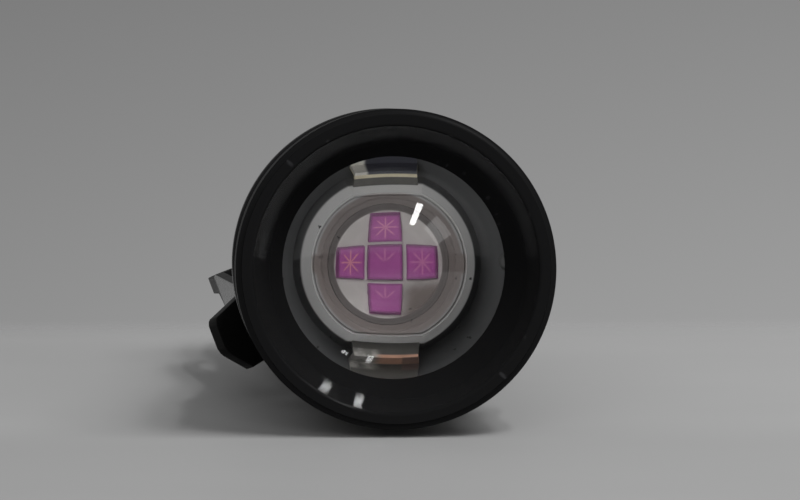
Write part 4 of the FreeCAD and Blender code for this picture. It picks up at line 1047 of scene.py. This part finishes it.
run_out_rows = [0.6, 0.75, 0.9, 1.05, 1.2]
cap_outline = [
    (SEAL_BORE, CAP_FRONT, 0.1),
    (CAP_LAND, CAP_FRONT, 0.45),
    (CAP_LAND, BAND_FRONT, 0.04),
    (CAP_BAND, 76.97, 0.1),
    *[(CAP_BAND, BAND_FRONT + row) for row in run_out_rows],
    *[(CAP_BAND, BAND_BACK - row) for row in reversed(run_out_rows)],
    (CAP_BAND, 89.72, 0.1),
    (CAP_LAND, BAND_BACK, 0.04),
    (CAP_LAND, CAP_BACK, 0.45),
    (BUTTON_BORE, CAP_BACK, 0.15),
    (BUTTON_BORE, CAP_WALL),
    (SWITCH_BORE, CAP_WALL),
    (SWITCH_BORE, 84.62),
    (RING_BORE, 84.62),
    (RING_BORE, 81.605),
    (THREAD_BORE, 81.605),
    (THREAD_BORE, 76.47),
    (SEAL_BORE, 76.47),
]
tail_cap = turned(
    "scalloped_tail_cap", "tail", rounded(cap_outline), ("tail_cap",), segments=480, cut=scallops
)


cord_notch = rounded([(-1.7, 8.65, 0.5), (1.7, 8.65, 0.5), (1.7, 13.0), (-1.7, 13.0)])
carve(tail_cap, bar(cord_notch, 87.32, BAND_BACK))
carve(tail_cap, drill(0, 9.55, 0.9, 90.0, 93.5))
dress(tail_cap, black_anodise)
dress(nodes["tail_o_ring"], black_rubber)


# Switch: a rubber boot clamped in the cap's end, and under it a sprung plunger in a grey housing on its board,
# held by a bare ring. Its terminals touch the tail spring, which presses on the cell.
BOOT_FRONT, BOOT_TOP = 90.32, 94.72
BOOT_FLANGE, BOOT_RADIUS, BOOT_BORE = 7.73, 5.15, 3.95
CROWN_FLAT = 0.6
CROWN_INSIDE = 93.52
boot_sides = rounded(
    [
        (BOOT_FLANGE, BOOT_FRONT, 0.1),
        (BOOT_FLANGE, CAP_WALL, 0.1),
        (BOOT_RADIUS, CAP_WALL),
        (BOOT_RADIUS, 93.42, 0.3),
    ]
)
boot = turned(
    "rubber_boot",
    "tail",
    [
        (BOOT_BORE, BOOT_FRONT),
        *boot_sides[:-1],
        *arc((5.05, 93.60), (CROWN_FLAT, BOOT_TOP), 9.0, 16),
        (CROWN_FLAT, BOOT_TOP),
        (0, BOOT_TOP),
        (0, CROWN_INSIDE),
        (CROWN_FLAT, CROWN_INSIDE),
        *arc((CROWN_FLAT, CROWN_INSIDE), (BOOT_BORE, 92.22), -4.966, 12),
        (BOOT_BORE, 92.22),
    ],
    ("switch_boot",),
    segments=192,
)
dress(boot, black_rubber)
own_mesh(boot)
grey_plastic = moulded("grey_plastic", (0.14, 0.14, 0.145), 0.45)
dress(nodes["boot_washer"], grey_plastic)
dress(nodes["switch_retaining_ring"], bare_aluminium)
dress(nodes["switch_board"], green_mask)
dress(nodes["switch_housing"], grey_plastic)
dress(nodes["switch_plunger"], grey_plastic)
dress(nodes["switch_terminals"], turned_metal("brass_contact", (0.60, 0.42, 0.20), 0.3))
plunger_spring = coil_spring("plunger_spring", "tail", "switch_spring", 2.4, 2.4, 0.2, 85.22, 87.82, 2.5)
dress(plunger_spring, spring_steel)
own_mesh(plunger_spring)
dress(coil_spring("tail_contact_spring", "tail", "tail_spring", 3.4, 4.6, 0.4, 81.07, 83.42, 2.0), spring_steel)
